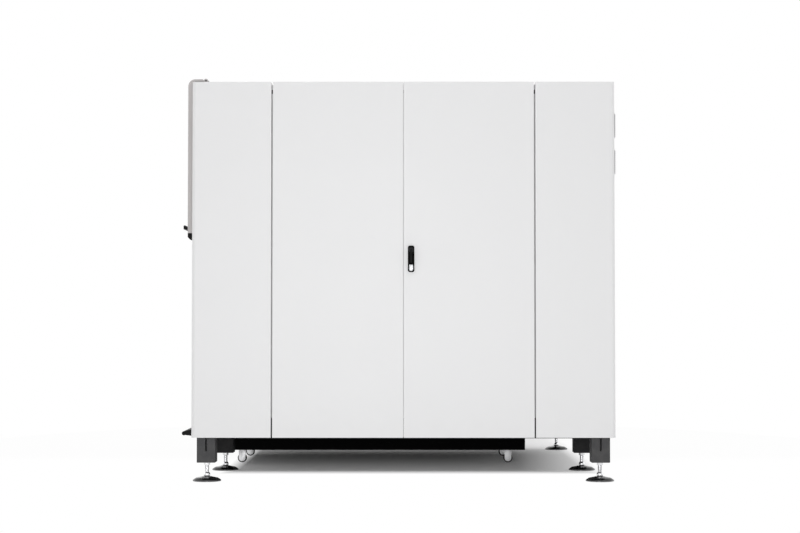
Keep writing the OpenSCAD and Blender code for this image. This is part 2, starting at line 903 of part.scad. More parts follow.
module door_mullion() color("#e9eaea") {
  x1 = side_x - fold_d - seal_gap;
  y0 = y_mid - mullion_w / 2;
  y1 = y_mid + mullion_w / 2;
  z1 = top_lo - mullion_t;
  box([x1 - mullion_t, y0, ring_top], [x1, y1, z1 - weld_gap]);
  box([x1 - mullion_rib, y0, ring_top], [x1 - mullion_t - weld_gap, y0 + mullion_t, z1 - weld_gap]);
  box([leg_x - post_w / 2, y0, z1], [x1, y1, top_lo]);
}

module foot_pads() color("#141415") {
  for (p = feet_xy)
    translate(p)
      rotate_extrude()
        polygon([
          [0, 0], [pad_d / 2, 0], [pad_d / 2, pad_rim], [pad_top_share * pad_d / 2, pad_shoulder],
          [ball_d / 2 + pad_rim, pad_h], [0, pad_h]
        ]);
}

module foot_studs() color("#c4c6c8") {
  for (p = feet_xy)
    translate([p[0], p[1], pad_h]) {
      intersection() {
        translate([0, 0, ball_d / 4])
          sphere(d = ball_d);
        cylinder(d = 2 * ball_d, h = ball_d);
      }
      cylinder(d = stud_d, h = leg_z - pad_h);
      translate([0, 0, leg_z - pad_h - nut_h])
        cylinder(d = nut_w, h = nut_h, $fn = 6);
    }
}

module right_panels() color("#e9eaea") {
  corner_at(1, -1, corner_return);
  difference() {
    corner_at(1, 1, vent_return);
    for (z = vent_z)
      box([side_x - vent_in - vent_w + vent_edge, rear_y - fold_d - cut, z + vent_edge],
        [side_x - vent_in - vent_edge, rear_y + cut, z + vent_h - vent_edge]);
  }
}

module left_panels() color("#e9eaea") {
  for (s = [-1, 1]) {
    corner_at(-1, s, corner_return);
    mirror([1, 0, 0])
      at_door(s)
        tray(door_w, panel_h);
  }
}

module roof_panel() color("#e9eaea") {
  x0 = fold_d + cut - side_x;
  x1 = side_x - fold_d - cut - swing_room;
  y0 = front_y + roof_in;
  y1 = rear_y - fold_d - cut;
  difference() {
    box([x0, y0, roof_top - fold_d], [x1, y1, roof_top]);
    box([x0 + sheet_t, y0 + sheet_t, roof_top - fold_d - cut], [x1 - sheet_t, y1 - sheet_t, top_hi]);
  }
}

module rear_panels() color("#e9eaea") {
  x0 = corner_return + panel_gap - side_x;
  x1 = liner_x - panel_gap;
  x2 = side_x - vent_return - panel_gap;
  difference() {
    translate([x1, rear_y, skirt_z])
      rotate(180)
        stiff_tray(x1 - x0, panel_h, rear_stiff_shares);
    at_duct()
      cylinder(d = duct_d - 2 * duct_t, h = 2 * fold_d, center = true);
  }
  difference() {
    translate([x2, rear_y, skirt_z])
      rotate(180)
        stiff_tray(x2 - liner_x, panel_h, bay_stiff_shares);
    at_inlets()
      cylinder(d = inlet_d, h = 2 * fold_d, center = true);
  }
}

// Extraction collar and cable inlet places on the rear face, z outward
module at_duct() {
  translate([bed_cx - duct_off, rear_y, duct_z])
    rotate([-90, 0, 0])
      children();
}

module at_inlets() {
  x0 = (liner_x + side_x - vent_return - panel_gap) / 2;
  for (i = [0 : inlet_n - 1])
    translate([x0 + (i - (inlet_n - 1) / 2) * inlet_gap, rear_y, skirt_z + leg_w + ring_lift + inlet_gap])
      rotate([-90, 0, 0])
        children();
}

module rear_louvres() color("#e3e4e4") {
  pitch = (vent_h - 2 * vent_edge) / vent_n;
  for (z = vent_z)
    translate([side_x - vent_in - vent_w, rear_y, z]) {
      difference() {
        cube([vent_w, vent_t, vent_h]);
        translate([vent_edge, -cut, vent_edge])
          cube([vent_w - 2 * vent_edge, vent_t + 2 * cut, vent_h - 2 * vent_edge]);
      }
      for (i = [1 : vent_n])
        translate([vent_edge / 2, 0, vent_edge + i * pitch + vent_t / 2])
          rotate([90, 0, 90])
            linear_extrude(vent_w - vent_edge)
              polygon([[0, -vent_t], [0, 0], [vent_out, vent_t - pitch], [vent_out, -pitch]]);
    }
}

module rear_ports() color("#2a2b2d") {
  at_duct()
    difference() {
      union() {
        cylinder(d = duct_d + 2 * duct_flange, h = duct_t);
        cylinder(d = duct_d, h = duct_out);
      }
      translate([0, 0, -cut])
        cylinder(d = duct_d - 2 * duct_t, h = duct_out + 2 * cut);
    }
  at_inlets() {
    cylinder(d = inlet_d + duct_t * 4, h = duct_out, $fn = 6);
    translate([0, 0, -fold_d])
      cylinder(d = inlet_d - 2 * pin_play, h = fold_d);
  }
}

module front_panel() color("#e9eaea") {
  difference() {
    translate([-front_w / 2, front_y, front_z])
      stiff_tray(front_w, sill_z - front_z, front_stiff_shares);
    box([console_x - screen[0] / 2, front_y - cut, console_z + stem_d],
      [console_x + screen[0] / 2, front_y + fold_d + cut, console_z + console[1] - stem_d]);
  }
}

module hinge_arms() color("#3a3b3d") {
  for (s = [-1, 1])
    at_door(s)
      arms(panel_h, door_hinge_shares);
  at_flap()
    arms(front_w, flap_hinge_shares);
}

module door_front() color("#e9eaea") {
  at_door(-1)
    leaf(door_w, panel_h, door_hinge_shares);
}

module door_rear() color("#e9eaea") {
  difference() {
    at_door(1)
      leaf(door_w, panel_h, door_hinge_shares);
    at_lock(lock_h / 2 - turn_drop)
      cylinder(d = spindle_d + 4 * cut, h = 2 * fold_d, center = true);
    at_lock(push_up - lock_h / 2)
      linear_extrude(2 * fold_d, center = true)
        push_shape(cut);
  }
}

// Outline of the push button, flat at the top and round at the bottom, grown by some play
module push_shape(play) {
  r = push[0] / 2 + play;
  intersection() {
    translate([0, push[0] / 2])
      circle(r);
    translate([-r, -play])
      square([2 * r, r]);
  }
  translate([-r, push[0] / 2])
    square([2 * r, push[1] - push[0] / 2 + play]);
}

module lock_base() color("#151617") {
  difference() {
    at_lock(0)
      linear_extrude(lock_t)
        rounded(lock_w, lock_h, lock_r);
    at_lock(lock_h / 2 - turn_drop)
      translate([0, 0, -cut])
        cylinder(d = spindle_d + 2 * pin_play, h = lock_t + 2 * cut);
    at_lock(push_up - lock_h / 2)
      translate([0, 0, -cut])
        linear_extrude(lock_t + 2 * cut)
          push_shape(rail_play);
  }
}

module lock_spindle() color("#151617") {
  at_lock(lock_h / 2 - turn_drop) {
    translate([0, 0, -fold_d - seal_gap - mullion_t - tongue_t])
      cylinder(d = spindle_d, h = fold_d + seal_gap + mullion_t + tongue_t + lock_t);
    translate([0, 0, lock_t + hinge_play])
      cylinder(d = head_d, h = head_t);
    translate([0, 0, lock_t])
      cylinder(d = spindle_d, h = hinge_play + head_t);
    translate([-tongue_w / 2, -tongue_l, -fold_d - seal_gap - mullion_t - 2 * tongue_t])
      cube([tongue_w, tongue_l + tongue_w / 2, tongue_t]);
    for (s = [-1, 1])
      translate([s * (lever_w / 2 - bracket_t / 4) - bracket_t / 8, -head_d / 4, lock_t + hinge_play])
        cube([bracket_t / 4, head_d / 2, head_t + lever_t]);
    translate([0, 0, lever_z])
      rotate([0, 90, 0])
        cylinder(d = lever_pin_d, h = lever_w - bracket_t / 4, center = true);
  }
}

module lock_lever() color("#202123") {
  half = lever_w / 2 - bracket_t * 3 / 8 - hinge_play;
  at_lock(lock_h / 2 - turn_drop)
    translate([0, 0, lever_z]) {
      translate([-half, 0, 0])
        rotate([90, 0, 90])
          linear_extrude(2 * half)
            lever_neck();
      translate([0, -lever_l / 2 - head_d / 4, -lever_t / 2])
        linear_extrude(lever_t)
          rounded(lever_w, lever_l - head_d / 2, lock_r);
    }
}

// Neck of the lever with its pin bore, seen along the pin
module lever_neck() {
  difference() {
    union() {
      translate([-head_d / 2 - lock_r, -lever_t / 2])
        square([head_d / 2 + lock_r, lever_t]);
      intersection() {
        circle(d = lever_t);
        translate([0, -lever_t / 2])
          square(lever_t);
      }
    }
    circle(d = lever_pin_d + 2 * pin_play);
  }
}

module lock_button() color("#d5d7d8") {
  at_lock(push_up - lock_h / 2)
    translate([0, 0, -lock_t])
      linear_extrude(2 * lock_t + push_proud)
        push_shape(0);
}

module front_flap() color("#e9eaea") {
  at_flap()
    leaf(flap_top - skirt_z, front_w, flap_hinge_shares);
}

// Bar handle on two angled brackets, its bar along +X from the origin
module bar_handle() {
  rotate([0, 90, 0])
    cylinder(d = bar_d, h = bar_l);
  for (x = [0, bar_l - bracket_t])
    translate([x, 0, 0])
      rotate([90, 0, 90])
        linear_extrude(bracket_t)
          polygon([
            [-bar_d / 3, -bar_d / 3], [bar_out, -bar_up], [bar_out, bracket_h - bar_up],
            [bar_out - bar_d / 2, bracket_h - bar_up], [-bar_d / 4, bar_d / 2.4]
          ]);
}

module flap_handles() color("#151617") {
  for (x = [bar_in - front_w / 2, front_w / 2 - bar_in - bar_l])
    translate([x, front_y - bar_out, skirt_z + bar_up])
      bar_handle();
}

// Outline of the hood end plates, y from the front skin and z down from the top
module hood_end_shape() {
  difference() {
    square([hood_proud + hood_end, hood_top - hood_z]);
    difference() {
      square(hood_r);
      translate([hood_r, hood_r])
        circle(hood_r);
    }
    translate([hood_proud, -cut])
      square([hood_end + cut, hood_top - roof_top + fold_d + hood_end + cut]);
  }
  translate([hood_proud - cut, hood_t - cut])
    square([hood_back + cut, hood_flange + cut]);
}

// Frame of the hood profile: x along +Y, y down, z along -X
module at_hood(x) {
  translate([x, front_y - hood_proud, hood_top])
    rotate([-90, 0, 90])
      children();
}

// Stud that carries the upper end of a gas spring
module hood_stud(s) {
  x0 = gas_x + hinge_play;
  translate([s * (x0 + hood_half) / 2, gas_t[0], gas_t[1]])
    rotate([0, 90, 0])
      cylinder(d = gas_pin_d, h = hood_half - x0, center = true);
}

// Moving knuckles of one hood hinge and their leaf under the hood top
module hood_knuckles(x) {
  for (s = [-1, 1])
    translate([x + s * (knuckle_l + hinge_play), 0, 0])
      difference() {
        union() {
          translate([0, hood_hy, hood_hz])
            rotate([0, 90, 0])
              cylinder(d = knuckle_d, h = knuckle_l, center = true);
          box([-knuckle_l / 2, front_y, hood_hz - hood_t], [knuckle_l / 2, hood_hy, hood_top - hood_t]);
        }
        translate([0, hood_hy, hood_hz])
          rotate([0, 90, 0])
            cylinder(d = hood_pin_d + 2 * pin_play, h = 2 * knuckle_l, center = true);
      }
}

module hood_shell() color("#b3afae") {
  difference() {
    at_hood(hood_half)
      linear_extrude(2 * hood_half)
        bent(hood_proud + hood_back, hood_top - hood_z, hood_r, hood_t);
    translate([-window_off, front_y - hood_proud, window_z + window_h / 2])
      rotate([90, 0, 0])
        linear_extrude(hood_r, center = true)
          rounded(window_w, window_h, window_r);
  }
  for (x = [hood_half, hood_t - hood_half])
    at_hood(x)
      linear_extrude(hood_t)
        hood_end_shape();
  for (s = hood_hinge_shares)
    hood_knuckles(s * hood_half);
  for (s = [-1, 1])
    hood_stud(s);
}

module hood_window() color("#20262a") {
  translate([-window_off, front_y - hood_proud + hood_t, window_z + window_h / 2])
    rotate([-90, 0, 0])
      linear_extrude(pane_t)
        rounded(window_w + 2 * pane_lap, window_h + 2 * pane_lap, window_r);
}

module hood_lip() color("#151617") {
  translate([-hood_half, front_y - hood_proud, hood_z])
    rotate([90, 0, 90])
      linear_extrude(2 * hood_half)
        polygon([
          [0, 0], [lip_t, 0], [lip_t, -lip_drop], [lip_t - lip_tip, -lip_drop],
          [0, -lip_front_share * lip_drop]
        ]);
}

module hood_handle() color("#151617") {
  y1 = front_y - hood_proud;
  y0 = y1 - grip_out - grip[0];
  z0 = hood_z + grip_up;
  translate([-grip_l / 2, y0 + grip[0] / 2, z0 + grip[1] / 2])
    rotate([90, 0, 90])
      linear_extrude(grip_l)
        rounded(grip[0], grip[1], grip[0] / 3);
  for (i = [0 : grip_feet - 1])
    translate([(i / (grip_feet - 1) - 1 / 2) * (grip_l - 2 * grip[1]), 0, 0])
      box([-grip[1] / 2, y0 + grip[0] / 2, z0], [grip[1] / 2, y1, z0 + grip[1] / 2]);
}

module hood_hinges() color("#151617") {
  for (s = hood_hinge_shares)
    translate([s * hood_half, 0, 0]) {
      translate([0, hood_hy, hood_hz])
        rotate([0, 90, 0]) {
          cylinder(d = knuckle_d, h = knuckle_l, center = true);
          cylinder(d = hood_pin_d, h = 3 * knuckle_l + 2 * hinge_play, center = true);
        }
      box([-knuckle_l / 2, hood_hy - knuckle_d / 3, roof_top],
        [knuckle_l / 2, hood_hy + knuckle_d / 3, hood_hz]);
      box([-knuckle_l, hood_hy - knuckle_d / 3, roof_top],
        [knuckle_l, hood_hy + knuckle_d, roof_top + hood_t]);
    }
}

// Frame of a gas spring at its lower anchor, z along the spring
module at_gas(s) {
  translate([s * gas_x, gas_b[0], gas_b[1]])
    rotate([gas_tilt, 0, 0])
      children();
}

// Eye of a gas spring with its axis along X, inside of the spring plane
module gas_eye(s, bore) {
  translate([-s * gas_eye_t / 2, 0, 0])
    rotate([0, 90, 0])
      difference() {
        cylinder(d = gas_eye_d, h = gas_eye_t, center = true);
        cylinder(d = bore, h = gas_eye_t + 2 * cut, center = true);
      }
}

module gas_brackets() color("#2a2b2d") {
  for (s = [-1, 1])
    translate([s * gas_x, gas_b[0], gas_b[1]])
      rotate([0, s * 90, 0]) {
        translate([0, 0, -gas_eye_t])
          cylinder(d = gas_pin_d, h = gas_eye_t + hinge_play);
        translate([0, 0, hinge_play])
          cylinder(d = gas_d, h = leg_x - post_w / 2 - gas_x - hinge_play);
      }
}

// Cylinder of one gas spring with its lower eye
module gas_cylinder(s) {
  color("#1a1b1c")
    at_gas(s)
      difference() {
        union() {
          gas_eye(s, gas_pin_d + 2 * pin_play);
          translate([-s * gas_eye_t / 2, 0, gas_eye_d * 2 / 5])
            cylinder(d = gas_eye_t, h = gas_eye_d / 2);
          translate([-s * gas_eye_t / 2, 0, gas_eye_d / 2 + gas_eye_t / 2])
            cylinder(d = gas_d, h = gas_l);
        }
        translate([-s * gas_eye_t / 2, 0, gas_len - gas_eye_d - rod_in])
          cylinder(d = rod_d + 2 * rod_play, h = gas_len);
      }
}

// Rod of one gas spring with its upper eye
module gas_rod(s) {
  color("#c4c6c8")
    at_gas(s) {
      translate([0, 0, gas_len])
        gas_eye(s, gas_pin_d);
      translate([-s * gas_eye_t / 2, 0, gas_len - gas_eye_d / 2 - rod_in])
        cylinder(d = rod_d, h = rod_in + gas_eye_d / 8);
    }
}

// Place on the outer face of the control plate: x along +X, y up, z outward
module at_console(x, up) {
  translate([console_x + x, front_y - console_t, console_z + up])
    rotate([90, 0, 0])
      children();
}

module console_plate() color("#1a1b1c") {
  difference() {
    translate([console_x, front_y, console_z + console[1] / 2])
      rotate([90, 0, 0])
        linear_extrude(console_t)
          rounded(console[0], console[1], console_r);
    for (x = button_at)
      at_console(x, button_up)
        cylinder(d = stem_d + 2 * pin_play, h = 4 * console_t, center = true);
  }
}

module touch_screen() color("#0e1114") {
  at_console(0, console[1] - screen_drop - screen[1] / 2)
    linear_extrude(screen_t)
      rounded(screen[0], screen[1], console_r / 2);
}

// Push button with its stem in the control plate
module push_button(i, d, h) {
  at_console(button_at[i], button_up) {
    translate([0, 0, stroke])
      cylinder(d = d, h = h);
    translate([0, 0, -stem_l])
      cylinder(d = stem_d, h = stem_l + stroke + h / 2);
  }
}

module estop_button() color("#b81d1f") {
  push_button(0, estop_d, estop_h);
}

module start_button() color("#2c8a4b") {
  push_button(1, cap_d, cap_h);
}

module stop_button() color("#c23a34") {
  push_button(2, cap_d, cap_h);
}

module scrap_cart() color("#161718") {
  translate([bed_cx, 0, 0]) {
    difference() {
      union() {
        box([-cart_half, cart_fy, cart_z], [cart_half, cart_ry, cart_top]);
        box([-cart_half - band_t, cart_fy, band_z], [cart_half + band_t, cart_ry, band_z + band_h]);
      }
      box([cart_t - cart_half, cart_fy + cart_t, cart_z + cart_t],
        [cart_half - cart_t, cart_ry - cart_t, cart_top + cut]);
    }
    translate([0, cart_fy - pull_out, pull_z])
      rotate([0, 90, 0])
        cylinder(d = pull_d, h = pull_l, center = true);
    for (s = [-1, 1])
      translate([s * (pull_l - pull_d) / 2, 0, 0])
        box([-pull_d / 2, cart_fy - pull_out, pull_z - pull_d / 4],
          [pull_d / 2, cart_fy, pull_z + pull_d / 4]);
  }
}

// Places of the four casters: i counts left to right, j front to rear
function caster_at(i, j) = [bed_cx + (i - 1 / 2) * caster_gap, caster_ys[j], wheel_r];

// Side plate of a caster fork, seen along X
module fork_plate() {
  translate([-fork_w / 2, 0])
    square([fork_w, cart_z - wheel_r - fork_t]);
  intersection() {
    circle(d = fork_w);
    translate([-fork_w / 2, -fork_w])
      square([fork_w, fork_w]);
  }
}

module cart_casters() color("#85888b") {
  for (i = [0, 1], j = [0, 1])
    translate(caster_at(i, j)) {
      for (x = [-fork_in - fork_t, fork_in])
        translate([x, 0, 0])
          rotate([90, 0, 90])
            linear_extrude(fork_t)
              fork_plate();
      translate([-caster_plate / 2, -caster_plate / 2, cart_z - wheel_r - fork_t])
        cube([caster_plate, caster_plate, fork_t]);
      rotate([0, 90, 0])
        cylinder(d = axle_d, h = 2 * (fork_in + 2 * fork_t), center = true);
    }
}

// One cart wheel with its bore
module wheel(i, j) {
  color("#1b1c1d")
    translate(caster_at(i, j))
      rotate([0, 90, 0])
        difference() {
          cylinder(d = wheel_d, h = wheel_w, center = true);
          cylinder(d = axle_d + 2 * pin_play, h = wheel_w + 2 * cut, center = true);
        }
}

module scrap_hopper() color("#8e9194") {
  z0 = cart_top + hopper_gap;
  z1 = ledge_z - ledge_t;
  u0 = cart_half - hopper_in;
  u1 = u_in - ledge_w;
  y0 = frame_fy + leg_w + hopper_in;
  y1 = cart_ry - hopper_in;
  both_sides() {
    translate([0, table_ry, 0])
      rotate([90, 0, 0])
        linear_extrude(table_ry - y0)
          polygon([[u0, z0], [u0 + hopper_t, z0], [u1, z1 - hopper_t], [u_in - hopper_t, z1 - hopper_t],
            [u_in - hopper_t, z1], [u1 - hopper_t, z1]]);
    translate([0, y0 + hopper_t, 0])
      rotate([90, 0, 0])
        linear_extrude(hopper_t)
          polygon([[0, z0], [u0 - weld_gap, z0], [u1 - hopper_t - weld_gap, z1], [0, z1]]);
  }
  intersection() {
    translate([bed_cx - u_in, 0, 0])
      rotate([90, 0, 90])
        linear_extrude(2 * u_in)
          polygon([[y1, z0], [y1 + hopper_t, z0], [table_ry, z1 - hopper_t], [table_ry, z1],
            [table_ry - hopper_t, z1]]);
    translate([bed_cx, rear_y, 0])
      rotate([90, 0, 0])
        linear_extrude(body_d)
          polygon([[weld_gap - u0, z0], [u0 - weld_gap, z0], [u1 - hopper_t - weld_gap, z1],
            [weld_gap + hopper_t - u1, z1]]);
  }
}

// Middle of slat number i along Y
function slat_y(i) = table_fy + table_w + (i + 1 / 2) * slat_step;

module slat_frame() color("#4a4d50") {
  both_sides() {
    box([table_u - table_w, table_fy, ledge_z], [table_u, table_ry, slat_z]);
    difference() {
      box([table_u - table_w - comb_t, table_fy + table_w + weld_gap, slat_z - table_bar / 2],
        [table_u - table_w - weld_gap, table_ry - table_w - weld_gap, slat_z + comb_h]);
      for (i = [0 : slat_n - 1])
        box([slat_half - table_w, slat_y(i) - slat_t / 2 - comb_play, slat_z],
          [slat_half, slat_y(i) + slat_t / 2 + comb_play, slat_z + comb_h + cut]);
    }
  }
  for (y = [table_fy, table_ry - table_w])
    box([bed_cx - table_u + table_w + weld_gap, y, ledge_z],
      [bed_cx + table_u - table_w - weld_gap, y + table_w, slat_z]);
}

module slats() color("#6d6660") {
  for (i = [0 : slat_n - 1])
    translate([bed_cx, slat_y(i) + slat_t / 2, slat_z])
      rotate([90, 0, 0])
        linear_extrude(slat_t)
          polygon(concat([[slat_half, 0], [-slat_half, 0], [-slat_half, slat_h - tooth_h]],
            [for (k = [0 : tooth_n - 1], p = [0, 1])
              [(k + (p + 1) / 2 - tooth_n / 2 - 1 / 4) * tooth_w, slat_h - p * tooth_h]],
            [[slat_half, slat_h - tooth_h]]));
}

// Straight rack with its root at y = 0 and teeth towards +y, a tooth middle at x = 0
module rack(back, ahead) {
  half = gear_pitch / 4 - backlash / 2;
  lean = tan(20) * gear_m;
  n0 = floor(back / gear_pitch) - 1;
  n1 = floor(ahead / gear_pitch) - 1;
  polygon(concat([[-back, -rack_w], [-back, 0]],
    [for (i = [-n0 : n1], p = [[-half - lean * 1.25, 0], [lean - half, rack_deep],
      [half - lean, rack_deep], [half + lean * 1.25, 0]])
      [i * gear_pitch + p[0], p[1]]],
    [[ahead, 0], [ahead, -rack_w]]));
}

// Pinion outline with involute flanks and a tooth gap at angle 0
module pinion_shape(teeth) {
  pitch_r = gear_m * teeth / 2;
  base_r = pitch_r * cos(20);
  root_r = pitch_r - gear_m * 1.2;
  tip_r = pitch_r + gear_m * 0.95;
  inv = tan(20) * 180 / PI - 20;
  half = 90 / teeth - backlash / pitch_r * 45 / PI;
  function flank(r) = half + inv - (r > base_r ? sqrt(pow(r / base_r,
    2) - 1) * 180 / PI - acos(base_r / r) : 0);
  rs = [for (t = [0 : 5]) root_r + (tip_r - root_r) * t / 5];
  polygon([for (i = [0 : teeth - 1]) each concat(
    [for (r = rs) r * [cos((i + 1 / 2) * 360 / teeth - flank(r)),
      sin((i + 1 / 2) * 360 / teeth - flank(r))]],
    [for (k = [5 : -1 : 0]) rs[k] * [cos((i + 1 / 2) * 360 / teeth + flank(rs[k])),
      sin((i + 1 / 2) * 360 / teeth + flank(rs[k]))]])]);
}

module y_guides() color("#b9bcbf") {
  both_sides() {
    box([rail_u - rail[0] / 2, rail_y0, beam_top], [rail_u + rail[0] / 2, rail_y1, beam_top + rail[1]]);
    translate([rack_u, gantry_y + drive_y, beam_top])
      rotate(90)
        linear_extrude(rack_h)
          rack(gantry_y + drive_y - rail_y0, rail_y1 - gantry_y - drive_y);
  }
}

// Runner block over a rail, with its top at z = 0
module runner_block(wide, len, high, r) {
  difference() {
    translate([-wide / 2, -len / 2, -high])
      cube([wide, len, high]);
    translate([-r[0] / 2 - rail_play, -len / 2 - cut, -high - cut])
      cube([r[0] + 2 * rail_play, len + 2 * cut, r[1] - runner_lift + rail_play + cut]);
  }
}

module gantry_beam() color("#c9cbcc") {
  difference() {
    box([bed_cx - base_u, gantry_fy, gantry_z], [bed_cx + base_u, gantry_fy + gantry[0], gantry_top]);
    box([bed_cx - base_u - cut, gantry_fy + gantry_wall, gantry_z + gantry_wall],
      [bed_cx + base_u + cut, gantry_fy + gantry[0] - gantry_wall, gantry_top - gantry_wall]);
  }
  both_sides() {
    difference() {
      box([pinion_u - reducer[0] / 2, gantry_y - base_l[0], base_z],
        [base_u, gantry_y + base_l[1], gantry_z]);
      translate([pinion_u, gantry_y + drive_y, base_z - cut])
        cylinder(d = 2 * shaft_d, h = base_t + 2 * cut);
    }
    for (y = [runner[1] / 2 - base_l[0], base_l[1] - runner[1] / 2])
      translate([rail_u, gantry_y + y, base_z])
        runner_block(runner[0], runner[1], runner[2], rail);
  }
}

module y_drives() color("#202226") {
  both_sides()
    translate([pinion_u, gantry_y + drive_y, gantry_z]) {
      difference() {
        translate([-reducer[0] / 2, -reducer[1] / 2, 0])
          cube(reducer);
        translate([0, 0, -cut])
          cylinder(d = shaft_d + 2 * pin_play, h = base_t + cut);
      }
      translate([-motor[0] / 2, -motor[1] / 2, reducer[2]])
        cube(motor);
    }
}

// Y pinion with its shaft, s = 0 on the right and 1 on the left
module y_pinion(s) {
  color("#9b9ea1")
    translate([bed_cx, 0, 0])
      mirror([s, 0, 0])
        translate([pinion_u, gantry_y + drive_y, beam_top + pinion_lift]) {
          linear_extrude(pinion_h)
            pinion_shape(y_teeth);
          translate([0, 0, pinion_h])
            cylinder(d = shaft_d, h = gantry_z + base_t / 2 - beam_top - pinion_lift - pinion_h);
        }
}

module x_guides() color("#b9bcbf") {
  for (z = [x_rail_lo, x_rail_hi])
    box([bed_cx - x_half, gantry_fy - x_rail[1], z], [bed_cx + x_half, gantry_fy, z + x_rail[0]]);
  translate([x_pinion_x, gantry_fy, x_rack_z])
    rotate([90, 180, 0])
      linear_extrude(rack_h - pinion_lift)
        rack(bed_cx + x_half - x_pinion_x, x_pinion_x - bed_cx + x_half);
}

module x_carriage() color("#3a3d42") {
  difference() {
    box([car_x - plate_w / 2, plate_y0, plate_z0], [car_x + plate_w / 2, plate_y1, plate_z1]);
    translate([x_pinion_x, plate_y1 + cut, x_pinion_z])
      rotate([90, 0, 0])
        cylinder(d = 2 * shaft_d, h = plate_t + 2 * cut);
  }
  for (x = [runner[1] / 2 - plate_w / 2, plate_w / 2 - runner[1] / 2], z = [x_rail_lo, x_rail_hi])
    translate([car_x + x, plate_y1, z + x_rail[0] / 2])
      rotate([90, 0, 0])
        rotate(90)
          runner_block(runner[0], runner[1], runner[2], x_rail);
  translate([z_x - z_rail[0] / 2, plate_y0 - z_rail[1], plate_z0])
    cube([z_rail[0], z_rail[1], plate_z1 - plate_z0]);
  translate([z_x - x_motor[0] / 2, plate_y0 - x_motor[1], plate_z1])
    cube([x_motor[0], x_motor[1] + plate_t, plate_t]);
}

module x_drive() color("#202226") {
  translate([x_pinion_x, plate_y0, x_pinion_z])
    rotate([90, 0, 0]) {
      difference() {
        translate([-x_motor[0] / 2, -x_motor[1] / 2, 0])
          cube([x_motor[0], x_motor[1], reducer[2]]);
        translate([0, 0, -cut])
          cylinder(d = shaft_d + 2 * pin_play, h = base_t + cut);
      }
      translate([-x_motor[0] * 9 / 20, -x_motor[1] * 9 / 20, reducer[2]])
        cube([x_motor[0] * 9 / 10, x_motor[1] * 9 / 10, x_motor[2]]);
    }
  translate([z_x - x_motor[0] * 9 / 20, plate_y0 - x_motor[1] * 19 / 20, plate_z1 + plate_t])
    cube([x_motor[0] * 9 / 10, x_motor[1] * 9 / 10, x_motor[2]]);
}

module x_pinion() color("#9b9ea1") {
  translate([x_pinion_x, gantry_fy - hinge_play, x_pinion_z])
    rotate([90, 0, 0]) {
      linear_extrude(pinion_h)
        rotate(90)
          pinion_shape(x_teeth);
      cylinder(d = shaft_d, h = gantry_fy - hinge_play - plate_y0 + base_t / 2);
    }
}

module z_slide() color("#c9cbcc") {
  difference() {
    box([z_x - z_slide_size[0] / 2, slide_y, slide_z],
      [z_x + z_slide_size[0] / 2, plate_y0 - runner_lift / 2, slide_z + z_slide_size[2]]);
    box([z_x - z_rail[0] / 2 - rail_play, plate_y0 - z_rail[1] - rail_play, slide_z - cut],
      [z_x + z_rail[0] / 2 + rail_play, plate_y0, slide_z + z_slide_size[2] + cut]);
  }
  box([z_x - cut_d / 3, cut_y, slide_z + z_slide_size[2] / 4],
    [z_x + cut_d / 3, slide_y, slide_z + z_slide_size[2] * 3 / 4]);
}

module cutting_head() color("#2b2e33") {
  top_z = slide_z + z_slide_size[2];
  difference() {
    translate([z_x, cut_y, 0]) {
      translate([0, 0, slide_z])
        cylinder(d = cut_d, h = z_slide_size[2]);
      translate([0, 0, tip_z + nozzle_l])
        cylinder(d1 = nozzle_d[0] * 1.3, d2 = cut_d * 0.8, h = tip_drop - nozzle_l);
      translate([0, 0, top_z])
        cylinder(d = cut_d * 0.8, h = cut_d);
      translate([0, 0, top_z + cut_d])
        cylinder(d = fiber_d, h = cut_d);
    }
    box([z_x - cut_d / 3, cut_y, slide_z + z_slide_size[2] / 4],
      [z_x + cut_d / 3, slide_y, slide_z + z_slide_size[2] * 3 / 4]);
  }
}

module nozzle() color("#b06a3c") {
  translate([z_x, cut_y, tip_z])
    cylinder(d1 = nozzle_d[1], d2 = nozzle_d[0], h = nozzle_l);
}

module cabinet_liner() color("#d9dadb") {
  box([liner_x, frame_fy + post_w, ring_top], [liner_x + sheet_t, frame_ry - post_w, top_lo]);
  box([liner_x, frame_fy + post_w, ring_top], [leg_x - leg_w / 2, frame_ry - post_w, ring_top + sheet_t]);
}

module laser_source() color("#d7d9da") {
  x0 = (liner_x + leg_x - laser[0]) / 2;
  z0 = ring_top + sheet_t;
  translate([x0, rear_y - laser_back - laser[1], z0]) {
    translate([0, 0, laser_foot])
      cube(laser);
    for (x = [laser_foot, laser[0] - 2 * laser_foot], y = [laser_foot, laser[1] - 2 * laser_foot])
      translate([x, y, 0])
        cube([laser_foot, laser_foot, laser_foot]);
  }
}

module electrical_panel() color("#aeb2b4") {
  translate([back_x, y_mid - plate_y - plate[0] / 2, plate_z]) {
    cube([back_t, plate[0], plate[1]]);
    for (y = [row_gap, plate[0] - 2 * row_gap], z = [row_gap, plate[1] - 2 * row_gap])
      translate([-back_gap, y, z])
        cube([back_gap, row_gap, row_gap]);
    for (i = [0 : drive_n - 1])
      translate([back_t, 2 * row_gap + i * (drive[1] + row_gap),
        plate[1] - drive[2] - 2 * row_gap - duct[1]])
        cube(drive);
    for (i = [0 : breaker_n - 1])
      translate([back_t, 2 * row_gap + i * breaker[1], plate[1] / 2 - breaker[2] / 2])
        cube(breaker);
    translate([back_t, plate[0] - controller[1] - 2 * row_gap,
      plate[1] - controller[2] - 2 * row_gap - duct[1]])
      cube(controller);
    for (s = duct_shares)
      translate([back_t, row_gap, s * plate[1] - duct[1] / 2])
        cube([duct[0], plate[0] - 2 * row_gap, duct[1]]);
  }
}

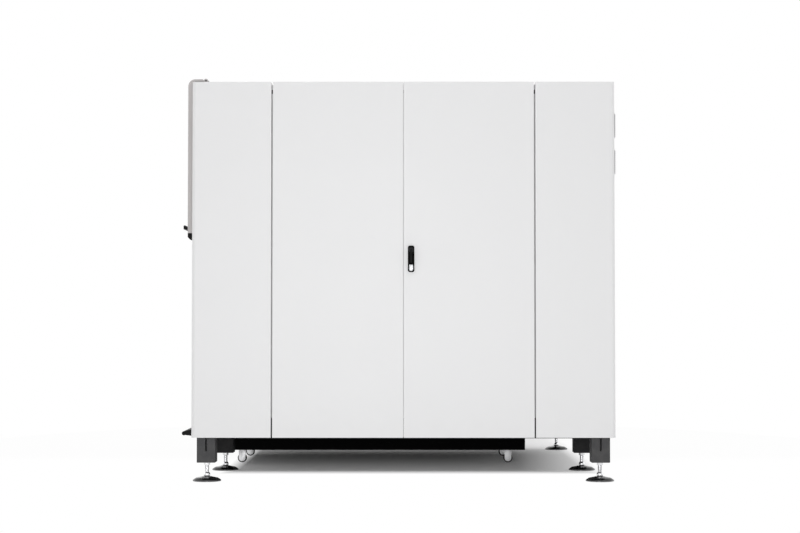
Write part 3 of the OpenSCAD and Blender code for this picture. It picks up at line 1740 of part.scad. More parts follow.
bed_frame();
cabinet_frame();
door_mullion();
foot_pads();
foot_studs();
right_panels();
left_panels();
roof_panel();
rear_panels();
rear_louvres();
rear_ports();
front_panel();
hinge_arms();
door_front();
door_rear();
lock_base();
lock_spindle();
lock_lever();
lock_button();
front_flap();
flap_handles();
hood_shell();
hood_window();
hood_lip();
hood_handle();
hood_hinges();
gas_brackets();
gas_cylinder(-1);  // gas_cylinder_left
gas_cylinder(1);  // gas_cylinder_right
gas_rod(-1);  // gas_rod_left
gas_rod(1);  // gas_rod_right
console_plate();
touch_screen();
estop_button();
start_button();
stop_button();
scrap_cart();
cart_casters();
wheel(0, 0);  // wheel_front_left
wheel(1, 0);  // wheel_front_right
wheel(0, 1);  // wheel_rear_left
wheel(1, 1);  // wheel_rear_right
scrap_hopper();
slat_frame();
slats();
y_guides();
gantry_beam();
y_drives();
y_pinion(1);  // y_pinion_left
y_pinion(0);  // y_pinion_right
x_guides();
x_carriage();
x_drive();
x_pinion();
z_slide();
cutting_head();
nozzle();
cabinet_liner();
laser_source();
electrical_panel();
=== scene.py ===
import json
import math
import bpy
from mathutils import Matrix, Vector


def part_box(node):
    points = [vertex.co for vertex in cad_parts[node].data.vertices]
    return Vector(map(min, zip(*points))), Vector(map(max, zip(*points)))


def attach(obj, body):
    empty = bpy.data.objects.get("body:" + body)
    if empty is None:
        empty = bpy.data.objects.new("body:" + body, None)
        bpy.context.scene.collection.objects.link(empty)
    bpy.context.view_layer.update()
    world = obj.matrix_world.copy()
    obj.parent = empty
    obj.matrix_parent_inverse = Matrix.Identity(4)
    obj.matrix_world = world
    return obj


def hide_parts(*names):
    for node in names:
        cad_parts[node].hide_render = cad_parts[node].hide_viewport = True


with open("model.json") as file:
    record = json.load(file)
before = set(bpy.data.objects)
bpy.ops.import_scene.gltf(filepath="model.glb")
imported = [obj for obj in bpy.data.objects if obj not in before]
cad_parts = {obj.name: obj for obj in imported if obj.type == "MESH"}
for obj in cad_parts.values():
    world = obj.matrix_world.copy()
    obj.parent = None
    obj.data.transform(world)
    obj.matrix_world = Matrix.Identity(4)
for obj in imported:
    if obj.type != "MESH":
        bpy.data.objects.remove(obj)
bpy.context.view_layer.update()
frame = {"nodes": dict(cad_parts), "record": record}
nodes = frame["nodes"]
bodyOf = {n: b for b, members in frame["record"]["behaviour"]["bodies"].items() for n in members}
slotOf = {s["node"]: s["material_slot"] for s in frame["record"]["subparts"]}
print("frame loaded:", len(nodes), "nodes")


# a shader socket that takes Python's operators
class Wire:
    def __init__(self, tree, socket):
        self.tree, self.socket = tree, socket

    # any node: its type, its settings, the values or links of its sockets
    def add(self, kind, settings, inputs, out=0):
        made = self.tree.nodes.new(kind)
        for key, value in settings.items():
            setattr(made, key, value)
        for key, value in inputs.items():
            if isinstance(value, Wire):
                self.tree.links.new(value.socket, made.inputs[key])
            else:
                made.inputs[key].default_value = value
        return Wire(self.tree, made.outputs[out])

    def sum(self, operation, *values):
        return self.add("ShaderNodeMath", {"operation": operation}, dict(enumerate(values)))

    def __add__(self, other): return self.sum("ADD", self, other)
    def __radd__(self, other): return self.sum("ADD", other, self)
    def __sub__(self, other): return self.sum("SUBTRACT", self, other)
    def __rsub__(self, other): return self.sum("SUBTRACT", other, self)
    def __mul__(self, other): return self.sum("MULTIPLY", self, other)
    def __rmul__(self, other): return self.sum("MULTIPLY", other, self)
    def most(self, other): return self.sum("MAXIMUM", self, other)
    def fraction(self): return self.sum("FRACT", self)

    def between(self, low, high):
        return self.sum("GREATER_THAN", self, low) * self.sum("LESS_THAN", self, high)

    def clamp(self):
        return self.add("ShaderNodeClamp", {}, {0: self, 1: 0.0, 2: 1.0})

    def ramp(self, low, high):
        return self.add("ShaderNodeMapRange", {"clamp": True}, {0: self, 1: low, 2: high, 3: 0.0, 4: 1.0})


noiseMid = 0.5  # a noise node's middle value


def rgb(r, g, b):
    return (r, g, b, 1.0)


def newFinish(name):
    mat = bpy.data.materials.new(name)
    mat.use_nodes = True
    mat.node_tree.nodes.clear()
    coords = mat.node_tree.nodes.new("ShaderNodeTexCoord")
    return mat, Wire(mat.node_tree, coords.outputs["Object"])


def noise(at, scale, detail):
    return at.add("ShaderNodeTexNoise", {}, {"Vector": at, "Scale": scale, "Detail": detail})


def stretched(at, x, y, z):
    return at.add("ShaderNodeVectorMath", {"operation": "MULTIPLY"}, {0: at, 1: (x, y, z)})


def axisOf(at, i):
    return at.add("ShaderNodeSeparateXYZ", {}, {0: at}, i)


# takes plain colours or wires
def mixed(factor, a, b):
    a, b = (c if isinstance(c, Wire) else rgb(*c) for c in (a, b))
    return factor.add("ShaderNodeMix", {"data_type": "RGBA"}, {0: factor, 6: a, 7: b}, 2)


def bumped(height, strength, distance):
    return height.add("ShaderNodeBump", {}, {"Strength": strength, "Distance": distance, "Height": height})


def endTree(shader, kind):
    last = shader.tree.nodes.new(kind)
    shader.tree.links.new(shader.socket, last.inputs[0])


def closeFinish(mat, at, inputs):
    endTree(at.add("ShaderNodeBsdfPrincipled", {}, inputs), "ShaderNodeOutputMaterial")
    return mat


# powder coat: fine orange peel, faint cloudiness, a little dust low down
paints = {
    "white_paint": {"colour": (0.80, 0.80, 0.805), "shift": 0.006, "peel": 0.05,
                    "rough": 0.42, "dust": 0.012, "gloss": 0.45},
    "grey_paint": {"colour": (0.505, 0.482, 0.477), "shift": 0.015, "peel": 0.06,
                   "rough": 0.45, "dust": 0.03, "gloss": 0.45},
    "cart_black": {"colour": (0.0022, 0.0022, 0.0023), "shift": 0.001, "peel": 0.10,
                   "rough": 0.55, "dust": 0.0, "gloss": 0.03},
    "frame_black": {"colour": (0.034, 0.034, 0.036), "shift": 0.010, "peel": 0.10,
                    "rough": 0.50, "dust": 0.02, "gloss": 0.40},
    # darker copy of the frame black for the bed frame: painted shade on the inner legs
    "bed_black_painted_shade": {"colour": (0.011, 0.011, 0.012), "shift": 0.003, "peel": 0.10,
                  "rough": 0.50, "dust": 0.01, "gloss": 0.16},
    "motor_black": {"colour": (0.028, 0.030, 0.034), "shift": 0.010, "peel": 0.10,
                    "rough": 0.40, "dust": 0.01, "gloss": 0.45},
}
# noises are given as scale and detail
coat = {"cloud": (3.0, 4.0), "cloudBand": (0.35, 0.65), "cloudRough": 0.12, "grain": (420.0, 2.0),
        "grainRough": 0.08, "peelDeep": 0.0006, "dust": (14.0, 5.0), "dustBand": (0.4, 0.7), "dustRise": (0.05, 0.45),
        "dustGain": 4.0, "dustColour": (0.42, 0.40, 0.37)}


def paintFinish(name, p, c):
    mat, at = newFinish(name)
    cloud = noise(at, *c["cloud"])
    grain = noise(at, *c["grain"])
    deep = [tone - p["shift"] for tone in p["colour"]]
    base = mixed(cloud.ramp(*c["cloudBand"]), deep, p["colour"])
    low = (1.0 - axisOf(at, 2).ramp(*c["dustRise"])) * noise(at, *c["dust"]).ramp(*c["dustBand"])
    base = mixed((low * (p["dust"] * c["dustGain"])).clamp(), base, c["dustColour"])
    rough = p["rough"] + (cloud - noiseMid) * c["cloudRough"] + (grain - noiseMid) * c["grainRough"]
    return closeFinish(mat, at, {"Base Color": base, "Roughness": rough, "Specular IOR Level": p["gloss"],
                                 "Normal": bumped(grain, p["peel"], c["peelDeep"])})


# moulded plastics: grain from a fine noise, paler where worn
plastics = {
    "black_plastic": {"colour": (0.0035, 0.0035, 0.0037), "light": (0.008, 0.008, 0.0085),
                      "rough": 0.42, "grain": 900.0, "gloss": 0.10},
    "lock_black": {"colour": (0.0014, 0.0014, 0.0015), "light": (0.003, 0.003, 0.0032),
                   "rough": 0.5, "grain": 900.0, "gloss": 0.04},
    "black_rubber": {"colour": (0.006, 0.006, 0.006), "light": (0.014, 0.0135, 0.013),
                     "rough": 0.68, "grain": 260.0, "gloss": 0.12},
    "red_plastic": {"colour": (0.46, 0.012, 0.012), "light": (0.58, 0.030, 0.026),
                    "rough": 0.30, "grain": 700.0, "gloss": 0.5},
    "yellow_plastic": {"colour": (0.62, 0.40, 0.012), "light": (0.70, 0.46, 0.030),
                       "rough": 0.35, "grain": 700.0, "gloss": 0.5},
    "grey_plastic": {"colour": (0.16, 0.165, 0.17), "light": (0.22, 0.225, 0.23),
                     "rough": 0.40, "grain": 700.0, "gloss": 0.5},
    "green_plastic": {"colour": (0.018, 0.22, 0.060), "light": (0.040, 0.30, 0.10),
                      "rough": 0.30, "grain": 700.0, "gloss": 0.5},
}
mould = {"worn": (30.0, 5.0), "wornBand": (0.45, 0.75), "wornRough": 0.10, "grainDetail": 2.0, "grainRough": 0.06,
         "bump": (0.12, 0.0004)}


def plasticFinish(name, p, m):
    mat, at = newFinish(name)
    grain = noise(at, p["grain"], m["grainDetail"])
    worn = noise(at, *m["worn"]).ramp(*m["wornBand"])
    base = mixed(worn, p["colour"], p["light"])
    rough = p["rough"] + worn * m["wornRough"] + (grain - noiseMid) * m["grainRough"]
    return closeFinish(mat, at, {"Base Color": base, "Roughness": rough, "Specular IOR Level": p["gloss"],
                                 "Normal": bumped(grain, *m["bump"])})


# foot pads: glossy black moulding, paler towards the bottom with a painted reflection of the floor
padLooks = {"black": (0.006, 0.006, 0.0065), "floorReflection": (0.15, 0.15, 0.153), "fade": (0.0030, 0.0080), "rough": 0.20,
            "grain": 300.0, "gloss": 0.4}


def padFinish(p, m):
    mat, at = newFinish("black_pad")
    grain = noise(at, p["grain"], m["grainDetail"])
    # painted reflection of the floor: the pad is mixed to a pale grey near its bottom and to black above
    base = mixed(axisOf(at, 2).ramp(*p["fade"]), p["floorReflection"], p["black"])
    rough = p["rough"] + (grain - noiseMid) * m["grainRough"]
    return closeFinish(mat, at, {"Base Color": base, "Roughness": rough, "Specular IOR Level": p["gloss"],
                                 "Normal": bumped(grain, *m["bump"])})


# bare metals: brushed lines along one direction and a slow stain
metals = {
    "bright_steel": {"colour": (0.60, 0.61, 0.62), "stain": (0.46, 0.47, 0.48),
                     "rough": 0.24, "run": (40.0, 40.0, 900.0), "metal": 1.0},
    "plated": {"colour": (0.76, 0.76, 0.77), "stain": (0.66, 0.66, 0.67),
               "rough": 0.15, "run": (40.0, 40.0, 900.0), "metal": 1.0},
    "raw_steel": {"colour": (0.34, 0.34, 0.33), "stain": (0.22, 0.20, 0.185),
                  "rough": 0.48, "run": (30.0, 30.0, 500.0), "metal": 0.85},
    "aluminium": {"colour": (0.62, 0.63, 0.64), "stain": (0.54, 0.55, 0.56),
                  "rough": 0.38, "run": (20.0, 700.0, 700.0), "metal": 0.9},
    "zinc": {"colour": (0.88, 0.88, 0.89), "stain": (0.82, 0.82, 0.83),
             "rough": 0.40, "run": (90.0, 90.0, 90.0), "metal": 0.80},
    "copper": {"colour": (0.62, 0.27, 0.13), "stain": (0.36, 0.16, 0.09),
               "rough": 0.30, "run": (60.0, 60.0, 900.0), "metal": 1.0},
}
brush = {"lines": (1.0, 3.0), "linesRough": 0.20, "bump": (0.08, 0.0005), "stain": (11.0, 5.0),
         "stainBand": (0.42, 0.72), "stainRough": 0.10}


def metalFinish(name, p, b):
    mat, at = newFinish(name)
    lines = noise(stretched(at, *p["run"]), *b["lines"])
    stain = noise(at, *b["stain"]).ramp(*b["stainBand"])
    base = mixed(stain, p["colour"], p["stain"])
    rough = p["rough"] + (lines - noiseMid) * b["linesRough"] + stain * b["stainRough"]
    return closeFinish(mat, at, {"Base Color": base, "Roughness": rough, "Metallic": p["metal"],
                                 "Normal": bumped(lines, *b["bump"])})


# dark laser glass with faint upright smears
glass = {"run": (3.0, 3.0, 9.0), "smear": (1.0, 4.0), "band": (0.4, 0.8), "colour": (0.010, 0.030, 0.022),
         "light": (0.016, 0.040, 0.030), "rough": 0.05, "smearRough": 0.06, "coat": 0.4}


def windowFinish(g):
    mat, at = newFinish("window_glass")
    smear = noise(stretched(at, *g["run"]), *g["smear"]).ramp(*g["band"])
    base = mixed(smear, g["colour"], g["light"])
    rough = g["rough"] + smear * g["smearRough"]
    return closeFinish(mat, at, {"Base Color": base, "Roughness": rough, "Coat Weight": g["coat"]})


# lit screen: bare canvas with a grid, keys at its side, a bar above; fields are shares of the width and height
screenLooks = {"shown": ((0.06, 0.94), (0.09, 0.91)), "canvas": ((0.08, 0.70), (0.14, 0.80)),
               "keys": ((0.73, 0.92), (0.14, 0.80)), "bar": ((0.06, 0.94), (0.84, 0.91)), "keyRows": 6.0,
               "keyGap": (0.16, 0.18), "grid": (18.0, 12.0), "gridBand": (0.93, 0.95), "gridShare": 0.5,
               "unlit": (0.0, 0.0, 0.0), "shownColour": (0.020, 0.032, 0.050), "canvasColour": (0.008, 0.012, 0.018),
               "gridColour": (0.05, 0.10, 0.14), "keyColour": (0.045, 0.12, 0.22), "barColour": (0.03, 0.20, 0.26),
               "smear": (18.0, 4.0), "glass": (0.006, 0.007, 0.009), "glassLight": (0.012, 0.013, 0.016),
               "rough": 0.08, "smearRough": 0.08, "glow": 1.0}


def screenFinish(s):
    mat, at = newFinish("screen_glass")
    low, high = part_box("touch_screen")
    u = axisOf(at, 0).ramp(low.x, high.x)
    v = axisOf(at, 2).ramp(low.z, high.z)
    shown, canvas, keys, bar = (u.between(*s[field][0]) * v.between(*s[field][1])
                                for field in ("shown", "canvas", "keys", "bar"))
    keys = keys * (v * s["keyRows"]).fraction().ramp(*s["keyGap"])
    across, up = ((share * count).fraction().ramp(*s["gridBand"]) for share, count in zip((u, v), s["grid"]))
    glow = mixed(shown, s["unlit"], s["shownColour"])
    glow = mixed(canvas, glow, s["canvasColour"])
    glow = mixed(canvas * (across + up).clamp() * s["gridShare"], glow, s["gridColour"])
    glow = mixed(keys, glow, s["keyColour"])
    glow = mixed(bar, glow, s["barColour"])
    smear = noise(at, *s["smear"])
    return closeFinish(mat, at, {"Base Color": mixed(smear, s["glass"], s["glassLight"]),
                                 "Roughness": s["rough"] + smear * s["smearRough"],
                                 "Emission Color": glow, "Emission Strength": s["glow"]})


# slats darken and take a heat tint towards their tips
slatLooks = {"tips": (0.96, 1.04), "mark": (26.0, 6.0), "markBand": (0.35, 0.7), "colour": (0.36, 0.355, 0.35),
             "marked": (0.22, 0.185, 0.16), "burnt": (0.080, 0.062, 0.054), "rough": 0.45, "markRough": 0.25,
             "scale": (180.0, 4.0), "bump": (0.3, 0.0012), "metal": 0.7}


def slatFinish(s):
    mat, at = newFinish("burnt_slats")
    mark = noise(at, *s["mark"]).ramp(*s["markBand"])
    base = mixed(mark, s["colour"], s["marked"])
    base = mixed((axisOf(at, 2).ramp(*s["tips"]) * mark).clamp(), base, s["burnt"])
    return closeFinish(mat, at, {"Base Color": base, "Roughness": s["rough"] + mark * s["markRough"],
                                 "Metallic": s["metal"], "Normal": bumped(noise(at, *s["scale"]), *s["bump"])})


# zinc coated sheet: flat crystals, each of its own tone
sheetLooks = {"scale": 55.0, "dark": (0.40, 0.41, 0.42), "light": (0.52, 0.53, 0.54), "rough": 0.34, "toneRough": 0.14,
              "metal": 0.8}


def zincSheetFinish(s):
    mat, at = newFinish("zinc_sheet")
    tone = axisOf(at.add("ShaderNodeTexVoronoi", {}, {"Vector": at, "Scale": s["scale"]}, 1), 0)
    base = mixed(tone, s["dark"], s["light"])
    rough = s["rough"] + tone * s["toneRough"]
    return closeFinish(mat, at, {"Base Color": base, "Roughness": rough, "Metallic": s["metal"]})


finishes = {name: paintFinish(name, p, coat) for name, p in paints.items()}
finishes.update({name: plasticFinish(name, p, mould) for name, p in plastics.items()})
finishes.update({name: metalFinish(name, p, brush) for name, p in metals.items()})
finishes["black_pad"] = padFinish(padLooks, mould)
finishes["window_glass"] = windowFinish(glass)
finishes["screen_glass"] = screenFinish(screenLooks)
finishes["burnt_slats"] = slatFinish(slatLooks)
finishes["zinc_sheet"] = zincSheetFinish(sheetLooks)


def dress(piece, finish):
    piece.data.materials.clear()
    piece.data.materials.append(finishes[finish])


for name, piece in nodes.items():
    dress(piece, slotOf[name])
dress(nodes["slats"], "burnt_slats")
print("finishes made:", len(finishes))


# tools for the pieces
# limits for what counts as picked, or as the same place
pick = {"squareOn": 0.9, "edge": 0.0005, "axle": 1e-6, "merge": 0.00001}
# edges that turn by more than this stay sharp, on plain and on turned pieces, in degrees
plainAngle, turnedAngle = 35, 30
hexSides = 6


def clearAll():
    if bpy.context.object and bpy.context.object.mode != "OBJECT":
        leaveEdit()
    bpy.ops.object.select_all(action="DESELECT")


def takeUp(piece):
    clearAll()
    piece.select_set(True)
    bpy.context.view_layer.objects.active = piece


def openEdit(piece, kind="FACE"):
    takeUp(piece)
    bpy.ops.object.mode_set(mode="EDIT")
    bpy.ops.mesh.select_mode(type=kind)
    bpy.ops.mesh.select_all(action="DESELECT")


def leaveEdit():
    bpy.ops.object.mode_set(mode="OBJECT")


def fixModifier(piece, kind, **settings):
    takeUp(piece)
    mod = piece.modifiers.new(kind.title(), kind)
    for key, value in settings.items():
        setattr(mod, key, value)
    bpy.ops.object.modifier_apply(modifier=mod.name)


def breakEdges(piece, width, segments=2, angle=40):
    fixModifier(piece, "BEVEL", width=width, segments=segments, limit_method="ANGLE", angle_limit=math.radians(angle))


def smooth(piece, angle=plainAngle):
    takeUp(piece)
    bpy.ops.object.shade_smooth_by_angle(angle=math.radians(angle))


def settle(piece, name, body, finish):
    piece.name = piece.data.name = name
    dress(piece, finish)
    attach(piece, body)


def pickFaces(piece, test):
    openEdit(piece)
    leaveEdit()
    for face in piece.data.polygons:
        face.select = test(face.center, face.normal)
    bpy.ops.object.mode_set(mode="EDIT")


# faces that look the given way
def pickFacing(piece, x, y):
    pickFaces(piece, lambda c, n: n.x * x + n.y * y > pick["squareOn"])


# rounds the edges that run along an axis, where the test on their first end holds
def roundEdges(piece, axis, width, segments, test=lambda end: True):
    i = "XYZ".index(axis)
    openEdit(piece, "EDGE")
    leaveEdit()
    spots = piece.data.vertices
    for edge in piece.data.edges:
        a, b = (spots[v].co for v in edge.vertices)
        edge.select = abs(a[i] - b[i]) > pick["edge"] and test(a)
    bpy.ops.object.mode_set(mode="EDIT")
    bpy.ops.mesh.bevel(offset=width, segments=segments, affect="EDGES")
    leaveEdit()


def pull(x, y=0):
    bpy.ops.mesh.extrude_region_move(TRANSFORM_OT_translate={"value": (x, y, 0)})


# the front gets a rim and moves along X, once for each step
def sinkFront(piece, *steps):
    pickFacing(piece, 1, 0)
    for rim, x in steps:
        bpy.ops.mesh.inset(thickness=rim)
        pull(x)
    leaveEdit()


def block(low, high):
    clearAll()
    bpy.ops.mesh.primitive_cube_add(size=1.0, location=(0, 0, 0))
    piece = bpy.context.object
    openEdit(piece)
    bpy.ops.mesh.select_all(action="SELECT")
    bpy.ops.transform.resize(value=tuple(b - a for a, b in zip(low, high)))
    bpy.ops.transform.translate(value=tuple((a + b) / 2 for a, b in zip(low, high)))
    leaveEdit()
    return piece


def tidyUp(piece):
    openEdit(piece)
    bpy.ops.mesh.select_all(action="SELECT")
    bpy.ops.mesh.remove_doubles(threshold=pick["merge"])
    bpy.ops.mesh.normals_make_consistent(inside=False)
    leaveEdit()


# an opening through a block along Y, with a rim left around it
def openFrame(piece, rim):
    pickFaces(piece, lambda c, n: abs(n.y) > pick["squareOn"])
    bpy.ops.mesh.inset(thickness=rim)
    bpy.ops.mesh.bridge_edge_loops()
    leaveEdit()
    tidyUp(piece)


# a round shape drawn out along an axis through (distance, radius) steps
def turned(steps, centre, axis="Z", sides=32, bored=False):
    k = "XYZ".index(axis)
    tilt = [(0, math.pi / 2, 0), (-math.pi / 2, 0, 0), (0, 0, 0)][k]
    spot = list(centre)
    spot[k] += steps[0][0]
    clearAll()
    at, radius = steps[0]
    bpy.ops.mesh.primitive_circle_add(vertices=sides, radius=radius, fill_type="NGON", location=spot, rotation=tilt)
    bpy.ops.object.transform_apply(location=True, rotation=True, scale=True)
    piece = bpy.context.object
    openEdit(piece)
    bpy.ops.mesh.select_all(action="SELECT")
    for nextAt, nextRadius in steps[1:]:
        move, grow = [0.0] * 3, [nextRadius / radius] * 3
        move[k], grow[k] = nextAt - at, 1.0
        bpy.ops.mesh.extrude_region_move(TRANSFORM_OT_translate={"value": move})
        bpy.ops.transform.resize(value=grow)
        at, radius = nextAt, nextRadius
    leaveEdit()
    if bored:
        pickFaces(piece, lambda c, n: math.hypot(*(c[i] - centre[i] for i in range(3) if i != k)) < pick["axle"])
        bpy.ops.mesh.delete(type="ONLY_FACE")
        openEdit(piece, "EDGE")
        bpy.ops.mesh.select_non_manifold()
        bpy.ops.mesh.bridge_edge_loops()
        leaveEdit()
    tidyUp(piece)
    return piece


def copied(piece, shift):
    twin = piece.copy()
    twin.data = piece.data.copy()
    twin.data.transform(Matrix.Translation(shift))
    bpy.context.scene.collection.objects.link(twin)
    return twin


def dropped(*spares):
    for spare in spares:
        bpy.data.objects.remove(spare)


def joined(pieces):
    clearAll()
    for piece in pieces:
        piece.select_set(True)
    bpy.context.view_layer.objects.active = pieces[0]
    if len(pieces) > 1:
        bpy.ops.object.join()
    return bpy.context.view_layer.objects.active


# a new piece in place of a CAD node
def standFor(piece, node, finish=None, angle=plainAngle):
    smooth(piece, angle)
    settle(piece, node + "_fine", bodyOf[node], finish or slotOf[node])
    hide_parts(node)


# a new piece that no CAD node has
def addTrim(parts, name, body, slot, finish=None, angle=turnedAngle):
    piece = joined(parts)
    smooth(piece, angle)
    settle(piece, name, body, finish or slot)


# nodes kept as they are but for broken edges, with the width of the break, and those with a look of their own
softWidths = {"door_front": 0.0016, "door_rear": 0.0016, "right_panels": 0.0016, "left_panels": 0.0016,
              "roof_panel": 0.0008, "rear_panels": 0.0016, "front_panel": 0.0016, "front_flap": 0.0016,
              "hood_shell": 0.0012, "bed_frame": 0.003, "cabinet_frame": 0.003, "scrap_cart": 0.0012,
              "flap_handles": 0.0012, "hood_handle": 0.001, "hood_lip": 0.001, "lock_base": 0.0012,
              "lock_spindle": 0.0004, "y_drives": 0.004, "x_drive": 0.003, "gantry_beam": 0.002, "x_carriage": 0.0015,
              "z_slide": 0.0015, "console_plate": 0.001, "rear_louvres": 0.0003, "hinge_arms": 0.0006,
              "door_mullion": 0.001}
# the bed frame's darker black is painted shade
softLooks = {"scrap_cart": "cart_black", "bed_frame": "bed_black_painted_shade", "lock_base": "lock_black",
             "lock_spindle": "bed_black_painted_shade"}
softSet = {"merge": 0.00002, "flat": 0.5, "segments": 2, "breakAngle": 30, "smoothAngle": 40, "weight": 100}


def softEdges(node, width, k):
    piece = nodes[node].copy()
    piece.data = nodes[node].data.copy()
    for key in list(piece.keys()):
        del piece[key]
    bpy.context.scene.collection.objects.link(piece)
    piece.parent = None
    takeUp(piece)
    bpy.ops.object.mode_set(mode="EDIT")
    bpy.ops.mesh.select_all(action="SELECT")
    bpy.ops.mesh.remove_doubles(threshold=k["merge"])
    bpy.ops.mesh.dissolve_limited(angle_limit=math.radians(k["flat"]))
    leaveEdit()
    breakEdges(piece, width, k["segments"], k["breakAngle"])
    smooth(piece, k["smoothAngle"])
    fixModifier(piece, "WEIGHTED_NORMAL", mode="FACE_AREA", weight=k["weight"], keep_sharp=True)
    settle(piece, node + "_soft", bodyOf[node], softLooks.get(node, slotOf[node]))
    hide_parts(node)


for name, width in softWidths.items():
    softEdges(name, width, softSet)
print("edges softened:", len(softWidths))


# levelling feet: turned pad, ball ended threaded stud, lock nut
feet = {"places": [(-1.130, -0.902), (-1.130, 0.952), (0.455, -0.902), (0.455, 0.952), (1.130, -0.923), (1.130, 0.973)],
        "pad": [(0.0, 0.0660), (0.0012, 0.0685), (0.0050, 0.0685), (0.0066, 0.0676), (0.0150, 0.0548),
                (0.0166, 0.0518), (0.0174, 0.0480), (0.0190, 0.0390), (0.0208, 0.0300), (0.0222, 0.0245),
                (0.0230, 0.0225), (0.0230, 0.0120)],
        "padTop": 0.023, "padSides": 48, "ball": 0.016, "ballMid": 0.031, "ballTop": 0.0432, "ballSteps": 8,
        "stud": 0.010, "root": 0.009, "runIn": 0.001, "runOut": 0.0005, "pitch": 0.0025, "crest": (0.35, 0.55),
        "studSides": 24, "nut": 0.0150, "nutFrom": 0.077, "legZ": 0.091, "chamfer": 0.0014, "nutEnd": 0.0126}


def footStuds(f):
    steps = []
    for i in range(f["ballSteps"] + 1):
        z = f["padTop"] + (f["ballTop"] - f["padTop"]) * i / f["ballSteps"]
        steps.append((z, math.sqrt(f["ball"] ** 2 - (z - f["ballMid"]) ** 2)))
    z = f["ballTop"] + f["runIn"]
    while z < f["nutFrom"] - f["pitch"]:
        steps += [(z, f["root"])] + [(z + f["pitch"] * share, f["stud"]) for share in f["crest"]]
        z += f["pitch"]
    steps += [(f["nutFrom"] - f["runOut"], f["root"]), (f["legZ"], f["root"])]
    stud = turned(steps, (0, 0, 0), sides=f["studSides"])
    nutSteps = [(f["nutFrom"], f["nutEnd"]), (f["nutFrom"] + f["chamfer"], f["nut"]),
                (f["legZ"] - f["chamfer"], f["nut"]), (f["legZ"], f["nutEnd"])]
    return joined([stud, turned(nutSteps, (0, 0, 0), sides=hexSides)])


def levelFeet(f):
    pad = turned(f["pad"], (0, 0, 0), sides=f["padSides"])
    stud = footStuds(f)
    pads, studs = (joined([copied(one, (x, y, 0)) for x, y in f["places"]]) for one in (pad, stud))
    dropped(pad, stud)
    standFor(pads, "foot_pads", angle=turnedAngle)
    standFor(studs, "foot_studs", "plated", turnedAngle)


levelFeet(feet)


# cart wheels: tyre with rounded shoulders, dished hub, bore for the axle
wheels = {"half": [(0.0110, 0.0042), (0.0110, 0.0080), (0.0098, 0.0086), (0.0088, 0.0096), (0.0088, 0.0160),
                   (0.0098, 0.0172), (0.0108, 0.0178), (0.0110, 0.0205), (0.0104, 0.0228), (0.0090, 0.0243),
                   (0.0070, 0.0250)], "sides": 40,
          "corners": ("front_left", "front_right", "rear_left", "rear_right")}


def cartWheels(w):
    steps = [(-at, r) for at, r in w["half"]] + list(reversed(w["half"]))
    for side in w["corners"]:
        low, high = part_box("wheel_" + side)
        wheel = turned(steps, (low + high) / 2, "X", w["sides"], bored=True)
        standFor(wheel, "wheel_" + side, angle=turnedAngle)


cartWheels(wheels)


# caster forks: two round ended cheeks under a bridge, top plate, axle with its nuts
casters = {"inner": 0.0115, "thick": 0.003, "half": 0.0188, "endShare": 0.985, "endSteps": 10, "plate": 0.033,
           "plateRound": 0.006, "plateSteps": 4, "bridge": 0.005, "soft": 0.0005, "softAngle": 50, "axleSides": 20,
           "axle": [(-0.0175, 0.0042), (-0.0175, 0.0062), (-0.0146, 0.0068), (-0.0146, 0.0040), (0.0146, 0.0040),
                    (0.0146, 0.0068), (0.0175, 0.0062), (0.0175, 0.0042)]}


def casterFork(c, mid, top):
    parts = []
    x, y, z = mid
    under = top - c["thick"]
    for side in (-1, 1):
        xs = sorted(x + side * at for at in (c["inner"], c["inner"] + c["thick"]))
        cheek = block((xs[0], y - c["half"], z - c["half"]), (xs[1], y + c["half"], under))
        roundEdges(cheek, "X", c["half"] * c["endShare"], c["endSteps"], lambda end: end.z < z)
        parts.append(cheek)
    parts.append(block((x - c["inner"], y - c["half"], under - c["bridge"]), (x + c["inner"], y + c["half"], under)))
    plate = block((x - c["plate"], y - c["plate"], under), (x + c["plate"], y + c["plate"], top))
    roundEdges(plate, "Z", c["plateRound"], c["plateSteps"])
    parts.append(plate)
    for part in parts:
        breakEdges(part, c["soft"], angle=c["softAngle"])
    return parts + [turned(c["axle"], mid, "X", c["axleSides"])]


def cartCasters(c):
    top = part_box("cart_casters")[1].z
    made = []
    for side in wheels["corners"]:
        low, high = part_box("wheel_" + side)
        made += casterFork(c, (low + high) / 2, top)
    standFor(joined(made), "cart_casters", "zinc")


cartCasters(casters)
print("feet, wheels and casters made")


# swing handle lock: lever plate, lighter rib that runs up into the neck, push button with a key barrel
lock = {"plateTop": 1.0995, "round": 0.0085, "roundSteps": 6, "step": 0.0016, "turnZ": 1.1125, "neckHalf": 0.0054,
        "neckFoot": 0.004, "neckRound": 0.0039, "rib": 0.0012, "ribDeep": 0.003, "ribHalf": 0.0048, "ribGap": 0.0045,
        "ribRound": 0.003, "ribSteps": 4, "soft": 0.0005, "buttonRound": 0.0088, "buttonSteps": 8, "rim": 0.0018,
        "dish": 0.0008, "buttonSoft": 0.0004, "barrel": [(-0.001, 0.0044), (0.0002, 0.0044), (0.0005, 0.004048)],
        "barrelUp": 0.003, "barrelSides": 24, "slotHalf": (0.00055, 0.0029), "slotDeep": (0.0003, 0.0006),
        "slotSoft": 0.0001}


